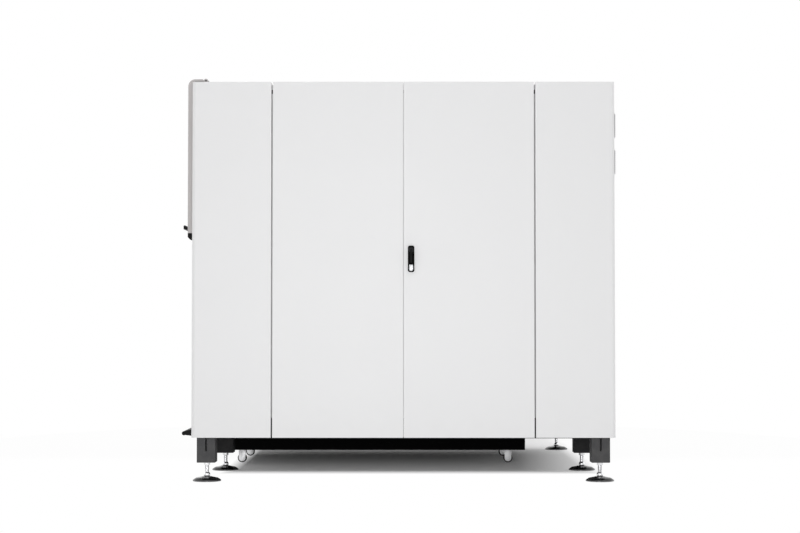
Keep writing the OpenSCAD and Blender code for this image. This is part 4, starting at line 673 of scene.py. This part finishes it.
def lockLever(k):
    low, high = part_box("lock_lever")
    mid, top, ribLow = (low.y + high.y) / 2, k["plateTop"], low.z + k["ribHalf"]
    plate = block((low.x, low.y, low.z), (high.x - k["rib"], high.y, top))
    roundEdges(plate, "X", k["round"], k["roundSteps"])
    pickFacing(plate, 1, 0)
    bpy.ops.mesh.inset(thickness=k["step"], depth=-k["rib"] / 2)
    leaveEdit()
    neck = block((low.x, mid - k["neckHalf"], top - k["neckFoot"]), (high.x, mid + k["neckHalf"], high.z))
    roundEdges(neck, "Y", k["neckRound"], k["roundSteps"], lambda end: end.z > k["turnZ"])
    rib = block((high.x - k["ribDeep"], mid - k["ribHalf"], ribLow), (high.x, mid + k["ribHalf"], top - k["ribGap"]))
    roundEdges(rib, "X", k["ribRound"], k["ribSteps"], lambda end: end.z < ribLow + k["ribHalf"])
    for part in (plate, neck, rib):
        breakEdges(part, k["soft"])
    standFor(plate, "lock_lever", "lock_black")
    addTrim([neck, rib], "lock_lever_rib", "lock_lever", "black_plastic", angle=plainAngle)


def lockButton(k):
    low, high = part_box("lock_button")
    button = block(low, high)
    roundEdges(button, "X", k["buttonRound"], k["buttonSteps"], lambda end: end.z < (low.z + high.z) / 2)
    sinkFront(button, (k["rim"], -k["dish"]))
    breakEdges(button, k["buttonSoft"])
    x, y, z = high.x - k["dish"], (low.y + high.y) / 2, low.z + (high.y - low.y) / 2 + k["barrelUp"]
    barrel = turned(k["barrel"], (x, y, z), "X", k["barrelSides"])
    standFor(joined([button, barrel]), "lock_button")
    (across, up), (back, front) = k["slotHalf"], k["slotDeep"]
    slot = block((x + back, y - across, z - up), (x + front, y + across, z + up))
    fixModifier(slot, "BEVEL", width=k["slotSoft"], segments=1)
    settle(slot, "lock_key_slot", "lock_button", "black_plastic")


lockLever(lock)
lockButton(lock)


# closing strips behind the gaps beside the doors
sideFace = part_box("right_panels")[1].x
strips = {"deep": (0.0262, 0.0292), "along": (-0.0112, -0.0008), "foot": 0.095, "head": 0.055, "soft": 0.0006}


def gapStrips(g):
    made = []
    for node, way in (("door_front", 1), ("door_rear", -1)):
        low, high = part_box(node)
        edge = low.y if way > 0 else high.y
        ys = sorted(edge + way * a for a in g["along"])
        strip = block((sideFace - g["deep"][1], ys[0], low.z + g["foot"]),
                      (sideFace - g["deep"][0], ys[1], high.z - g["head"]))
        fixModifier(strip, "BEVEL", width=g["soft"], segments=2)
        made.append(strip)
    addTrim(made, "door_gap_strips", "machine", "white_paint", angle=plainAngle)


# soft seal on the edge of the front door, in the gap where the doors meet
seal = {"deep": (0.0032, 0.0105), "wide": 0.0022, "ends": 0.004, "soft": 0.0007, "softSteps": 4}


def meetSeal(m):
    low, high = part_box("door_front")
    strip = block((sideFace - m["deep"][1], high.y, low.z + m["ends"]),
                  (sideFace - m["deep"][0], high.y + m["wide"], high.z - m["ends"]))
    roundEdges(strip, "Z", m["soft"], m["softSteps"], lambda end: end.y > high.y + m["wide"] / 2)
    addTrim([strip], "door_meet_seal", "door_front", "white_paint", angle=plainAngle)


gapStrips(strips)
meetSeal(seal)
print("lock, gap strips and seal made")


# operator panel: framed screen, mushroom and flat buttons with collars
flatCrown = [(0.0070, 0.0130), (0.0064, 0.0140), (0.0012, 0.0140), (0.0004, 0.0134), (0.0, 0.0122), (0.0008, 0.0108),
             (0.0010, 0.0040)]
operator = {"screenRound": 0.006, "screenSteps": 5, "bezel": 0.0052, "sunk": 0.0008, "screenSoft": 0.0004,
            "crowns": {"estop_button": [(0.0180, 0.0150), (0.0170, 0.0188), (0.0150, 0.0200), (0.0060, 0.0200),
                                        (0.0035, 0.0190), (0.0010, 0.0140), (0.0, 0.0060)],
                       "start_button": flatCrown, "stop_button": flatCrown},
            "stem": 0.008, "stemEnd": 0.0072, "chamfer": 0.001, "sides": 40,
            "collar": [(0.0, 0.0168), (0.0, 0.0205), (-0.0022, 0.0205), (-0.0032, 0.0192), (-0.0032, 0.0168)],
            "stopDisc": [(0.0, 0.0110), (0.0, 0.0300), (-0.0012, 0.0300), (-0.0018, 0.0292), (-0.0018, 0.0110)]}


def touchScreen(o):
    low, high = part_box("touch_screen")
    screen = block(low, high)
    roundEdges(screen, "Y", o["screenRound"], o["screenSteps"])
    pickFacing(screen, 0, -1)
    bpy.ops.mesh.inset(thickness=o["bezel"])
    pull(0, o["sunk"])
    leaveEdit()
    breakEdges(screen, o["screenSoft"])
    standFor(screen, "touch_screen")


def pushButtons(o):
    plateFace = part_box("console_plate")[0].y
    for node, crown in o["crowns"].items():
        low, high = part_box(node)
        x, deep, z = (low.x + high.x) / 2, high.y - low.y, (low.z + high.z) / 2
        steps = [(deep, o["stemEnd"]), (deep - o["chamfer"], o["stem"]), (crown[0][0], o["stem"])] + crown
        standFor(turned(steps, (x, low.y, z), "Y", o["sides"]), node, angle=turnedAngle)
        ring, slot, look = o["collar"], "bright_steel", "bright_steel"
        if node == "estop_button":
            ring, slot, look = o["stopDisc"], "black_plastic", "yellow_plastic"
        collar = turned(ring, (x, plateFace, z), "Y", o["sides"], bored=True)
        addTrim([collar], node + "_collar", "machine", slot, look)


touchScreen(operator)
pushButtons(operator)


# rubber frame around the hood window
gasket = {"wide": 0.026, "over": 0.010, "proud": 0.0025, "round": 0.048, "roundSteps": 8, "soft": 0.0009,
          "softSteps": 3, "low": (-0.928, 1.340), "high": (0.252, 1.760)}


def windowGasket(g):
    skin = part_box("hood_shell")[0].y
    (x0, z0), (x1, z1) = g["low"], g["high"]
    o = g["over"]
    ring = block((x0 - o, skin - g["proud"], z0 - o), (x1 + o, skin, z1 + o))
    roundEdges(ring, "Y", g["round"], g["roundSteps"])
    openFrame(ring, g["wide"])
    breakEdges(ring, g["soft"], g["softSteps"])
    addTrim([ring], "hood_window_gasket", "hood", "black_rubber", angle=plainAngle)


windowGasket(gasket)
print("operator panel and gasket made")


# rear ports: bolted extraction collar, cable glands
ports = {"duct": (-0.6375, 0.770), "collarSides": 64,
         "collar": [(0.0, 0.0972), (0.0, 0.1238), (0.0008, 0.1250), (0.0024, 0.1250), (0.0030, 0.1240),
                    (0.0030, 0.1010), (0.0036, 0.1000), (0.0080, 0.1000), (0.0090, 0.0990), (0.0090, 0.0972)],
         "boltRing": 0.1125, "bolts": 8, "boltSeat": 0.003,
         "bolt": [(0.0, 0.0062), (0.0022, 0.0062), (0.0034, 0.0050), (0.0034, 0.0026), (0.0022, 0.0024)],
         "glands": 4, "glandMid": (0.6985, 0.365), "glandStep": 0.060, "glandSides": 32,
         "nut": [(0.0, 0.0210), (0.0010, 0.0220), (0.0044, 0.0220), (0.0052, 0.0206)],
         "dome": [(0.0046, 0.0178), (0.0066, 0.0172), (0.0082, 0.0150), (0.0090, 0.0120), (0.0090, 0.0070),
                  (0.0060, 0.0066)],
         "tail": [(-0.025, 0.0150), (-0.0242, 0.0158), (0.001, 0.0158)]}


def rearPorts(r):
    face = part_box("rear_panels")[1].y
    x, z = r["duct"]
    parts = [turned(r["collar"], (x, face, z), "Y", r["collarSides"], bored=True)]
    bolt = turned(r["bolt"], (x, face + r["boltSeat"], z), "Y", hexSides)
    for i in range(r["bolts"]):
        a = (2 * i + 1) * math.pi / r["bolts"]
        parts.append(copied(bolt, (r["boltRing"] * math.cos(a), 0, r["boltRing"] * math.sin(a))))
    nut = turned(r["nut"], (0, face, 0), "Y", hexSides)
    dome, tail = (turned(r[key], (0, face, 0), "Y", r["glandSides"]) for key in ("dome", "tail"))
    x, z = r["glandMid"]
    for i in range(r["glands"]):
        at = (x + (i - (r["glands"] - 1) / 2) * r["glandStep"], 0, z)
        parts += [copied(part, at) for part in (nut, dome, tail)]
    dropped(bolt, nut, dome, tail)
    standFor(joined(parts), "rear_ports", angle=turnedAngle)


rearPorts(ports)


# button head screws of the lift-off rear panels
screws = {"head": [(0.0, 0.0056), (0.0006, 0.0058), (0.0016, 0.0050), (0.0024, 0.0034), (0.0024, 0.0022),
                   (0.0012, 0.0020)], "sides": 12, "columns": (-1.075, 0.475, 0.522, 0.875), "rows": 6, "ends": 0.05}


def panelScrews(k):
    low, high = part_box("rear_panels")
    one = turned(k["head"], (0, high.y, 0), "Y", k["sides"])
    z0, step = low.z + k["ends"], (high.z - low.z - 2 * k["ends"]) / (k["rows"] - 1)
    heads = [copied(one, (x, 0, z0 + i * step)) for x in k["columns"] for i in range(k["rows"])]
    dropped(one)
    addTrim(heads, "rear_panel_screws", "machine", "bright_steel")


panelScrews(screws)
print("rear ports and screws made")


# laser source: case with a framed front, fan grilles, lifting grips, connectors, rubber feet
source = {"front": 0.014, "frame": 0.010, "sunk": 0.0025, "soft": 0.0018, "softSteps": 3,
          "foot": 0.020, "footSteps": [(0.0, 0.012), (0.0015, 0.015), (0.020, 0.015)], "footIn": 0.03,
          "fanAt": (0.17, 0.47), "fanUp": 0.115, "gripAt": (0.045, 0.595),
          "vents": 9, "ventEnds": 0.10, "ventDeep": (0.0003, 0.0004), "ventUp": (0.045, 0.051), "ventStep": 0.017,
          "ventSoft": 0.0002, "plugAt": 0.32, "plugUp": (0.060, 0.115, 0.170), "sides": 24,
          "plug": [(0.0, 0.015), (0.003, 0.015), (0.0035, 0.0125), (0.010, 0.0125), (0.010, 0.0095), (0.004, 0.0090)]}
fan = {"radius": 0.056, "rings": (1.0, 0.76, 0.52), "wire": 0.0018, "wireDeep": 0.0022, "ringSides": 40,
       "hub": [(0.0, 0.30), (0.0018, 0.30), (0.0026, 0.26)], "hubSides": 24, "barShare": 0.98, "barHalf": 0.0014,
       "barDeep": 0.0016, "barSoft": 0.0004}
grips = {"thick": 0.010, "tall": 0.120, "rim": 0.0075, "soft": 0.002, "softSteps": 3, "softAngle": 50}


def fanGrille(f, face, y, z):
    mid, parts = (face, y, z), []
    for share in f["rings"]:
        r, deep = f["radius"] * share, f["wireDeep"]
        steps = [(0.0, r - f["wire"]), (0.0, r), (deep, r), (deep, r - f["wire"])]
        parts.append(turned(steps, mid, "X", f["ringSides"], bored=True))
    parts.append(turned([(at, f["radius"] * share) for at, share in f["hub"]], mid, "X", f["hubSides"]))
    reach, half = f["radius"] * f["barShare"], f["barHalf"]
    for across, up in ((reach, half), (half, reach)):
        bar = block((face, y - across, z - up), (face + f["barDeep"], y + across, z + up))
        fixModifier(bar, "BEVEL", width=f["barSoft"], segments=2)
        parts.append(bar)
    return parts


def liftGrip(g, low, high, y, z):
    grip = block((low, y - g["thick"] / 2, z - g["tall"] / 2), (high, y + g["thick"] / 2, z + g["tall"] / 2))
    openFrame(grip, g["rim"])
    breakEdges(grip, g["soft"], g["softSteps"], g["softAngle"])
    return grip


def laserSource(k):
    low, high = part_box("laser_source")
    face, base = high.x - k["front"], low.z + k["foot"]
    case = block((low.x, low.y, base), (face, high.y, high.z))
    sinkFront(case, (k["frame"], -k["sunk"]))
    breakEdges(case, k["soft"], k["softSteps"])
    standFor(case, "laser_source")
    sunk, inset = face - k["sunk"], k["footIn"]
    black = [turned(k["footSteps"], (x, y, low.z), "Z", k["sides"])
             for x in (low.x + inset, face - inset) for y in (low.y + inset, high.y - inset)]
    for y in k["fanAt"]:
        black += fanGrille(fan, sunk, low.y + y, base + k["fanUp"])
    slot = block((low.x + k["ventEnds"], low.y - k["ventDeep"][0], base + k["ventUp"][0]),
                 (face - k["ventEnds"], low.y + k["ventDeep"][1], base + k["ventUp"][1]))
    fixModifier(slot, "BEVEL", width=k["ventSoft"], segments=1)
    black += [copied(slot, (0, d, i * k["ventStep"])) for i in range(k["vents"]) for d in (0.0, high.y - low.y)]
    dropped(slot)
    addTrim(black, "laser_source_trim", "machine", "black_plastic")
    bright = [liftGrip(grips, sunk, sunk + k["front"], low.y + y, base + k["fanUp"]) for y in k["gripAt"]]
    bright += [turned(k["plug"], (sunk, low.y + k["plugAt"], base + z), "X", k["sides"]) for z in k["plugUp"]]
    addTrim(bright, "laser_source_fittings", "machine", "bright_steel")


laserSource(source)


# electrical panel: mounting plate on studs, drives, controller, breakers, terminals, lidded wiring ducts
panel = {"plate": 0.003, "plateSoft": 0.0008, "gap": 0.018, "row": 0.026, "stud": 0.01092, "studIn": 0.039,
         "studSides": 16, "drives": 4, "driveZ": 0.578, "breakers": 16, "terminals": 44, "terminalZ": 0.17,
         "ductShares": (0.06, 0.36, 0.64, 0.94)}
drives = {"size": (0.150, 0.062, 0.190), "rim": 0.005, "sunk": 0.003, "soft": 0.0016, "plugs": 5, "plugSide": 0.012,
          "plugZ": (0.016, 0.030), "plugStep": 0.021, "plugFront": 0.0002, "plugRim": 0.002, "plugSunk": 0.0016}
controllerBox = {"size": (0.090, 0.260, 0.200), "z": 0.568, "rim": 0.012, "sunk": 0.004, "padRim": 0.02, "pad": 0.003,
                 "soft": 0.0015}
breakerRow = {"size": (0.062, 0.018, 0.084), "play": 0.0003, "body": 0.70, "rim": 0.0015, "noseTall": 0.55,
              "nose": 0.18, "soft": 0.0006, "toggleX": 0.88, "toggleSide": 0.005, "toggleZ": (0.46, 0.60),
              "toggleSoft": 0.001}
terminalRow = {"size": (0.044, 0.0062, 0.052), "play": 0.0005, "rim": 0.001, "mouthTall": 0.3, "mouth": 0.006}
wireDuct = {"deep": 0.060, "tall": 0.040, "lidLap": 0.001, "lid": 0.004, "lidStep": 0.0005, "soft": 0.0006}


def servoDrive(s, at):
    x, y, z = at
    w, d, h = s["size"]
    body = block(at, (x + w, y + d, z + h))
    sinkFront(body, (s["rim"], -s["sunk"]))
    breakEdges(body, s["soft"])
    parts = [body]
    for i in range(s["plugs"]):
        z0, z1 = (z + up + i * s["plugStep"] for up in s["plugZ"])
        plug = block((x + w - s["sunk"], y + s["plugSide"], z0), (x + w - s["plugFront"], y + d - s["plugSide"], z1))
        sinkFront(plug, (s["plugRim"], -s["plugSunk"]))
        parts.append(plug)
    return joined(parts)


def controllerCase(c, x, y, z):
    w, d, h = c["size"]
    case = block((x, y - d, z), (x + w, y, z + h))
    sinkFront(case, (c["rim"], -c["sunk"]), (c["padRim"], c["pad"]))
    breakEdges(case, c["soft"])
    return case


def panelGear(k):
    low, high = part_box("electrical_panel")
    x0, row, inset = low.x + k["gap"], k["row"], k["studIn"]
    plate = block((x0, low.y, low.z), (x0 + k["plate"], high.y, high.z))
    studs = [turned([(0.0, k["stud"]), (k["gap"], k["stud"])], (low.x, y, z), "X", k["studSides"])
             for y in (low.y + inset, high.y - inset) for z in (low.z + inset, high.z - inset)]
    fixModifier(plate, "BEVEL", width=k["plateSoft"], segments=2)
    standFor(joined([plate] + studs), "electrical_panel", "zinc_sheet")
    face = x0 + k["plate"]
    drive = servoDrive(drives, (face, low.y + 2 * row, low.z + k["driveZ"]))
    others = [copied(drive, (0, i * (drives["size"][1] + row), 0)) for i in range(1, k["drives"])]
    case = controllerCase(controllerBox, face, high.y - 2 * row, low.z + controllerBox["z"])
    addTrim([drive] + others + [case], "panel_drives", "machine", "motor_black")
    panelRows(k, low, high, face)


def breakerParts(b, x, y, z):
    w, d, h = b["size"]
    body = block((x, y + b["play"], z), (x + w * b["body"], y + d - b["play"], z + h))
    pickFacing(body, 1, 0)
    bpy.ops.mesh.inset(thickness=b["rim"])
    bpy.ops.transform.resize(value=(1, 1, b["noseTall"]))
    pull(w * b["nose"])
    leaveEdit()
    breakEdges(body, b["soft"], 1)
    z0, z1 = (z + h * share for share in b["toggleZ"])
    toggle = block((x + w * b["toggleX"], y + b["toggleSide"], z0), (x + w, y + d - b["toggleSide"], z1))
    fixModifier(toggle, "BEVEL", width=b["toggleSoft"], segments=2)
    return body, toggle


def terminalClip(t, x, y, z):
    w, d, h = t["size"]
    clip = block((x, y, z), (x + w, y + d - t["play"], z + h))
    pickFacing(clip, 1, 0)
    bpy.ops.mesh.inset(thickness=t["rim"])
    bpy.ops.transform.resize(value=(1, 1, t["mouthTall"]))
    pull(-t["mouth"])
    leaveEdit()
    return clip


def liddedDuct(w, x, y0, y1, mid):
    half, tall = w["tall"] / 2 - w["lidLap"], w["tall"]
    duct = block((x, y0, mid - half), (x + w["deep"] - w["lid"], y1, mid + half))
    pickFacing(duct, 1, 0)
    pull(w["lidStep"])
    bpy.ops.transform.resize(value=(1, 1, tall / (tall - 2 * w["lidLap"])))
    pull(w["lid"] - w["lidStep"])
    leaveEdit()
    breakEdges(duct, w["soft"], 1)
    return duct


def panelRows(k, low, high, face):
    row = k["row"]
    y0, wide, tall = low.y + 2 * row, breakerRow["size"][1], breakerRow["size"][2]
    body, toggle = breakerParts(breakerRow, face, y0, (low.z + high.z) / 2 - tall / 2)
    pale = [copied(body, (0, i * wide, 0)) for i in range(k["breakers"])]
    dark = [copied(toggle, (0, i * wide, 0)) for i in range(k["breakers"])]
    clip = terminalClip(terminalRow, face, y0, low.z + k["terminalZ"])
    pale += [copied(clip, (0, i * terminalRow["size"][1], 0)) for i in range(k["terminals"])]
    for share in k["ductShares"]:
        pale.append(liddedDuct(wireDuct, face, low.y + row, high.y - row, low.z + share * (high.z - low.z)))
    dropped(body, toggle, clip)
    addTrim(pale, "panel_rows", "machine", "black_plastic", "grey_plastic")
    settle(joined(dark), "panel_toggles", "machine", "black_plastic")


panelGear(panel)
print("cabinet fittings made")


# cutting head and nozzle: stacked turned sections
head = {"steps": [(0.0, 0.0152), (0.004, 0.0156), (0.010, 0.0166), (0.011, 0.0196), (0.019, 0.0200), (0.020, 0.0182),
                  (0.070, 0.0236), (0.072, 0.0260), (0.0755, 0.0290), (0.077, 0.0300), (0.118, 0.0300),
                  (0.119, 0.0288), (0.122, 0.0288), (0.123, 0.0300), (0.170, 0.0300), (0.171, 0.0288),
                  (0.174, 0.0288), (0.175, 0.0300), (0.262, 0.0300), (0.266, 0.0285), (0.266, 0.0236),
                  (0.270, 0.0240), (0.318, 0.0240), (0.326, 0.0200), (0.327, 0.0130), (0.340, 0.0130),
                  (0.341, 0.0118), (0.350, 0.0118), (0.351, 0.0130), (0.382, 0.0130), (0.386, 0.0112)],
        "tip": [(0.0, 0.0022), (0.0004, 0.0027), (0.004, 0.0040), (0.0125, 0.0092), (0.0130, 0.0118),
                (0.0138, 0.0120), (0.0212, 0.0120), (0.0220, 0.0112)], "sides": 48, "tipSides": 24}


def cuttingHead(k):
    for node, steps, sides in (("cutting_head", k["steps"], k["sides"]), ("nozzle", k["tip"], k["tipSides"])):
        low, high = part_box(node)
        scale = (high.z - low.z) / steps[-1][0]
        mid = ((low.x + high.x) / 2, (low.y + high.y) / 2, low.z)
        standFor(turned([(at * scale, r) for at, r in steps], mid, "Z", sides), node, angle=turnedAngle)


cuttingHead(head)


# screw caps along the guide rails
caps = {"cap": [(-0.003, 0.0056), (0.0001, 0.0056), (0.0001, 0.0036), (-0.0008, 0.0032)], "sides": 12, "step": 0.080,
        "first": 0.03, "ends": 0.04, "yRails": (0.452, -1.127), "yTop": 1.126, "xRailZ": (1.176, 1.312)}


def capPlaces(k, low, high):
    return [low + k["first"] + i * k["step"] for i in range(int((high - low - k["ends"]) / k["step"]) + 1)]


def railCaps(k):
    low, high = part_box("y_guides")
    one = turned(k["cap"], (0, 0, k["yTop"]), "Z", k["sides"])
    made = [copied(one, (x, y, 0)) for x in k["yRails"] for y in capPlaces(k, low.y, high.y)]
    dropped(one)
    addTrim(made, "y_rail_caps", "machine", "frame_black")
    low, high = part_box("x_guides")
    one = turned([(-at, r) for at, r in k["cap"]], (0, low.y, 0), "Y", k["sides"])
    made = [copied(one, (x, 0, z)) for z in k["xRailZ"] for x in capPlaces(k, low.x, high.x)]
    dropped(one)
    addTrim(made, "x_rail_caps", "gantry", "frame_black")


railCaps(caps)
print("head, nozzle and rail caps made")


# studio: pale floor that keeps the cast shadow under the machine and fades to white around it; the fade is painted
# light, a white glow for the rays that see the background, masked to cover the cast shadow outside the area under the
# machine and to lift it faintly towards +X
stage = {"floor": 60.0, "floorColour": (0.92, 0.92, 0.92), "white": (1.0, 1.0, 1.0), "worldLight": 0.62,
         "farShape": (0.75, 1.0, 0.0), "fade": (1.9, 3.2), "shadeEnd": (0.50, 0.74), "shadeFront": (0.83, 0.92),
         "shadeRear": (0.64, 1.60), "shadeLast": (0.91, 1.06), "lift": 0.95, "under": (-0.60, 0.55), "paintedLightUnder": 0.12}


# rays that see the white background itself: the camera's, and those that metal and glass send on
def seenRays(tree):
    path = tree.nodes.new("ShaderNodeLightPath")
    seen = Wire(tree, path.outputs["Is Camera Ray"])
    for ray in ("Is Glossy Ray", "Is Transmission Ray"):
        seen = seen.most(Wire(tree, path.outputs[ray]))
    return seen


def studioFloor(s):
    clearAll()
    bpy.ops.mesh.primitive_plane_add(size=s["floor"], location=(0, 0, 0))
    floor = bpy.context.object
    floor.name = "studio_floor"
    mat, at = newFinish("floor_white")
    x, y = axisOf(at, 0), axisOf(at, 1)
    far = at.add("ShaderNodeVectorMath", {"operation": "LENGTH"}, {0: stretched(at, *s["farShape"])}, 1)
    beside = (0.0 - y).ramp(*s["shadeFront"]).most(y.ramp(*s["shadeRear"])).most(y.ramp(*s["shadeLast"]))
    # painted light: the glow share rises past the shade edges, and faintly under the machine towards +X
    lit = x.ramp(*s["shadeEnd"]).most(beside) * s["lift"] + x.ramp(*s["under"]) * s["paintedLightUnder"]
    share = lit.clamp().most(far.ramp(*s["fade"]))
    matt = at.add("ShaderNodeBsdfDiffuse", {}, {0: rgb(*s["floorColour"])})
    glow = at.add("ShaderNodeEmission", {}, {0: rgb(*s["white"])})
    blended = at.add("ShaderNodeMixShader", {}, {0: seenRays(at.tree) * share, 1: matt, 2: glow})
    endTree(blended, "ShaderNodeOutputMaterial")
    floor.data.materials.append(mat)


def studioWorld(s):
    world = bpy.data.worlds.new("studio")
    bpy.context.scene.world = world
    world.use_nodes = True
    tree = world.node_tree
    tree.nodes.clear()
    light = s["worldLight"] + seenRays(tree) * (1.0 - s["worldLight"])
    sky = light.add("ShaderNodeBackground", {}, {"Color": rgb(*s["white"]), "Strength": light})
    endTree(sky, "ShaderNodeOutputWorld")


lamps = {"aim": (0, 0, 0.9), "all": [
    {"name": "lamp_side", "at": (8.0, -0.3, 1.0), "size": 1.9, "watts": 110},
    {"name": "lamp_top", "at": (1.0, 0.5, 6.5), "size": 6.0, "watts": 90},
    {"name": "lamp_front", "at": (-2.4, -8.0, 2.6), "size": 5.0, "watts": 60},
    {"name": "lamp_rear", "at": (-2.4, 8.0, 2.6), "size": 5.0, "watts": 60},
    {"name": "lamp_left", "at": (-8.0, -1.0, 4.0), "size": 5.0, "watts": 30},
]}


def studioLamps(k):
    for lamp in k["all"]:
        data = bpy.data.lights.new(lamp["name"], "AREA")
        data.size, data.energy = lamp["size"], lamp["watts"]
        piece = bpy.data.objects.new(lamp["name"], data)
        piece.location = lamp["at"]
        way = Vector(k["aim"]) - piece.location
        piece.rotation_euler = way.to_track_quat("-Z", "Y").to_euler()
        bpy.context.scene.collection.objects.link(piece)


# the photograph's view: tilt up from level, turn from looking along +Y
cameraFit = {"at": (9.7404, 0.0415, 0.7336), "tilt": 2.0093, "turn": 90.2176, "lens": 80.014, "sensor": 36.0}


def studioCamera(c):
    data = bpy.data.cameras.new("photo_view")
    data.lens, data.sensor_width = c["lens"], c["sensor"]
    piece = bpy.data.objects.new("photo_view", data)
    piece.location = c["at"]
    piece.rotation_euler = (math.radians(90.0 + c["tilt"]), 0.0, math.radians(c["turn"]))
    bpy.context.scene.collection.objects.link(piece)
    bpy.context.scene.camera = piece


studioFloor(stage)
studioWorld(stage)
studioLamps(lamps)
studioCamera(cameraFit)
bpy.context.scene.view_settings.view_transform = "Standard"
print("studio ready")
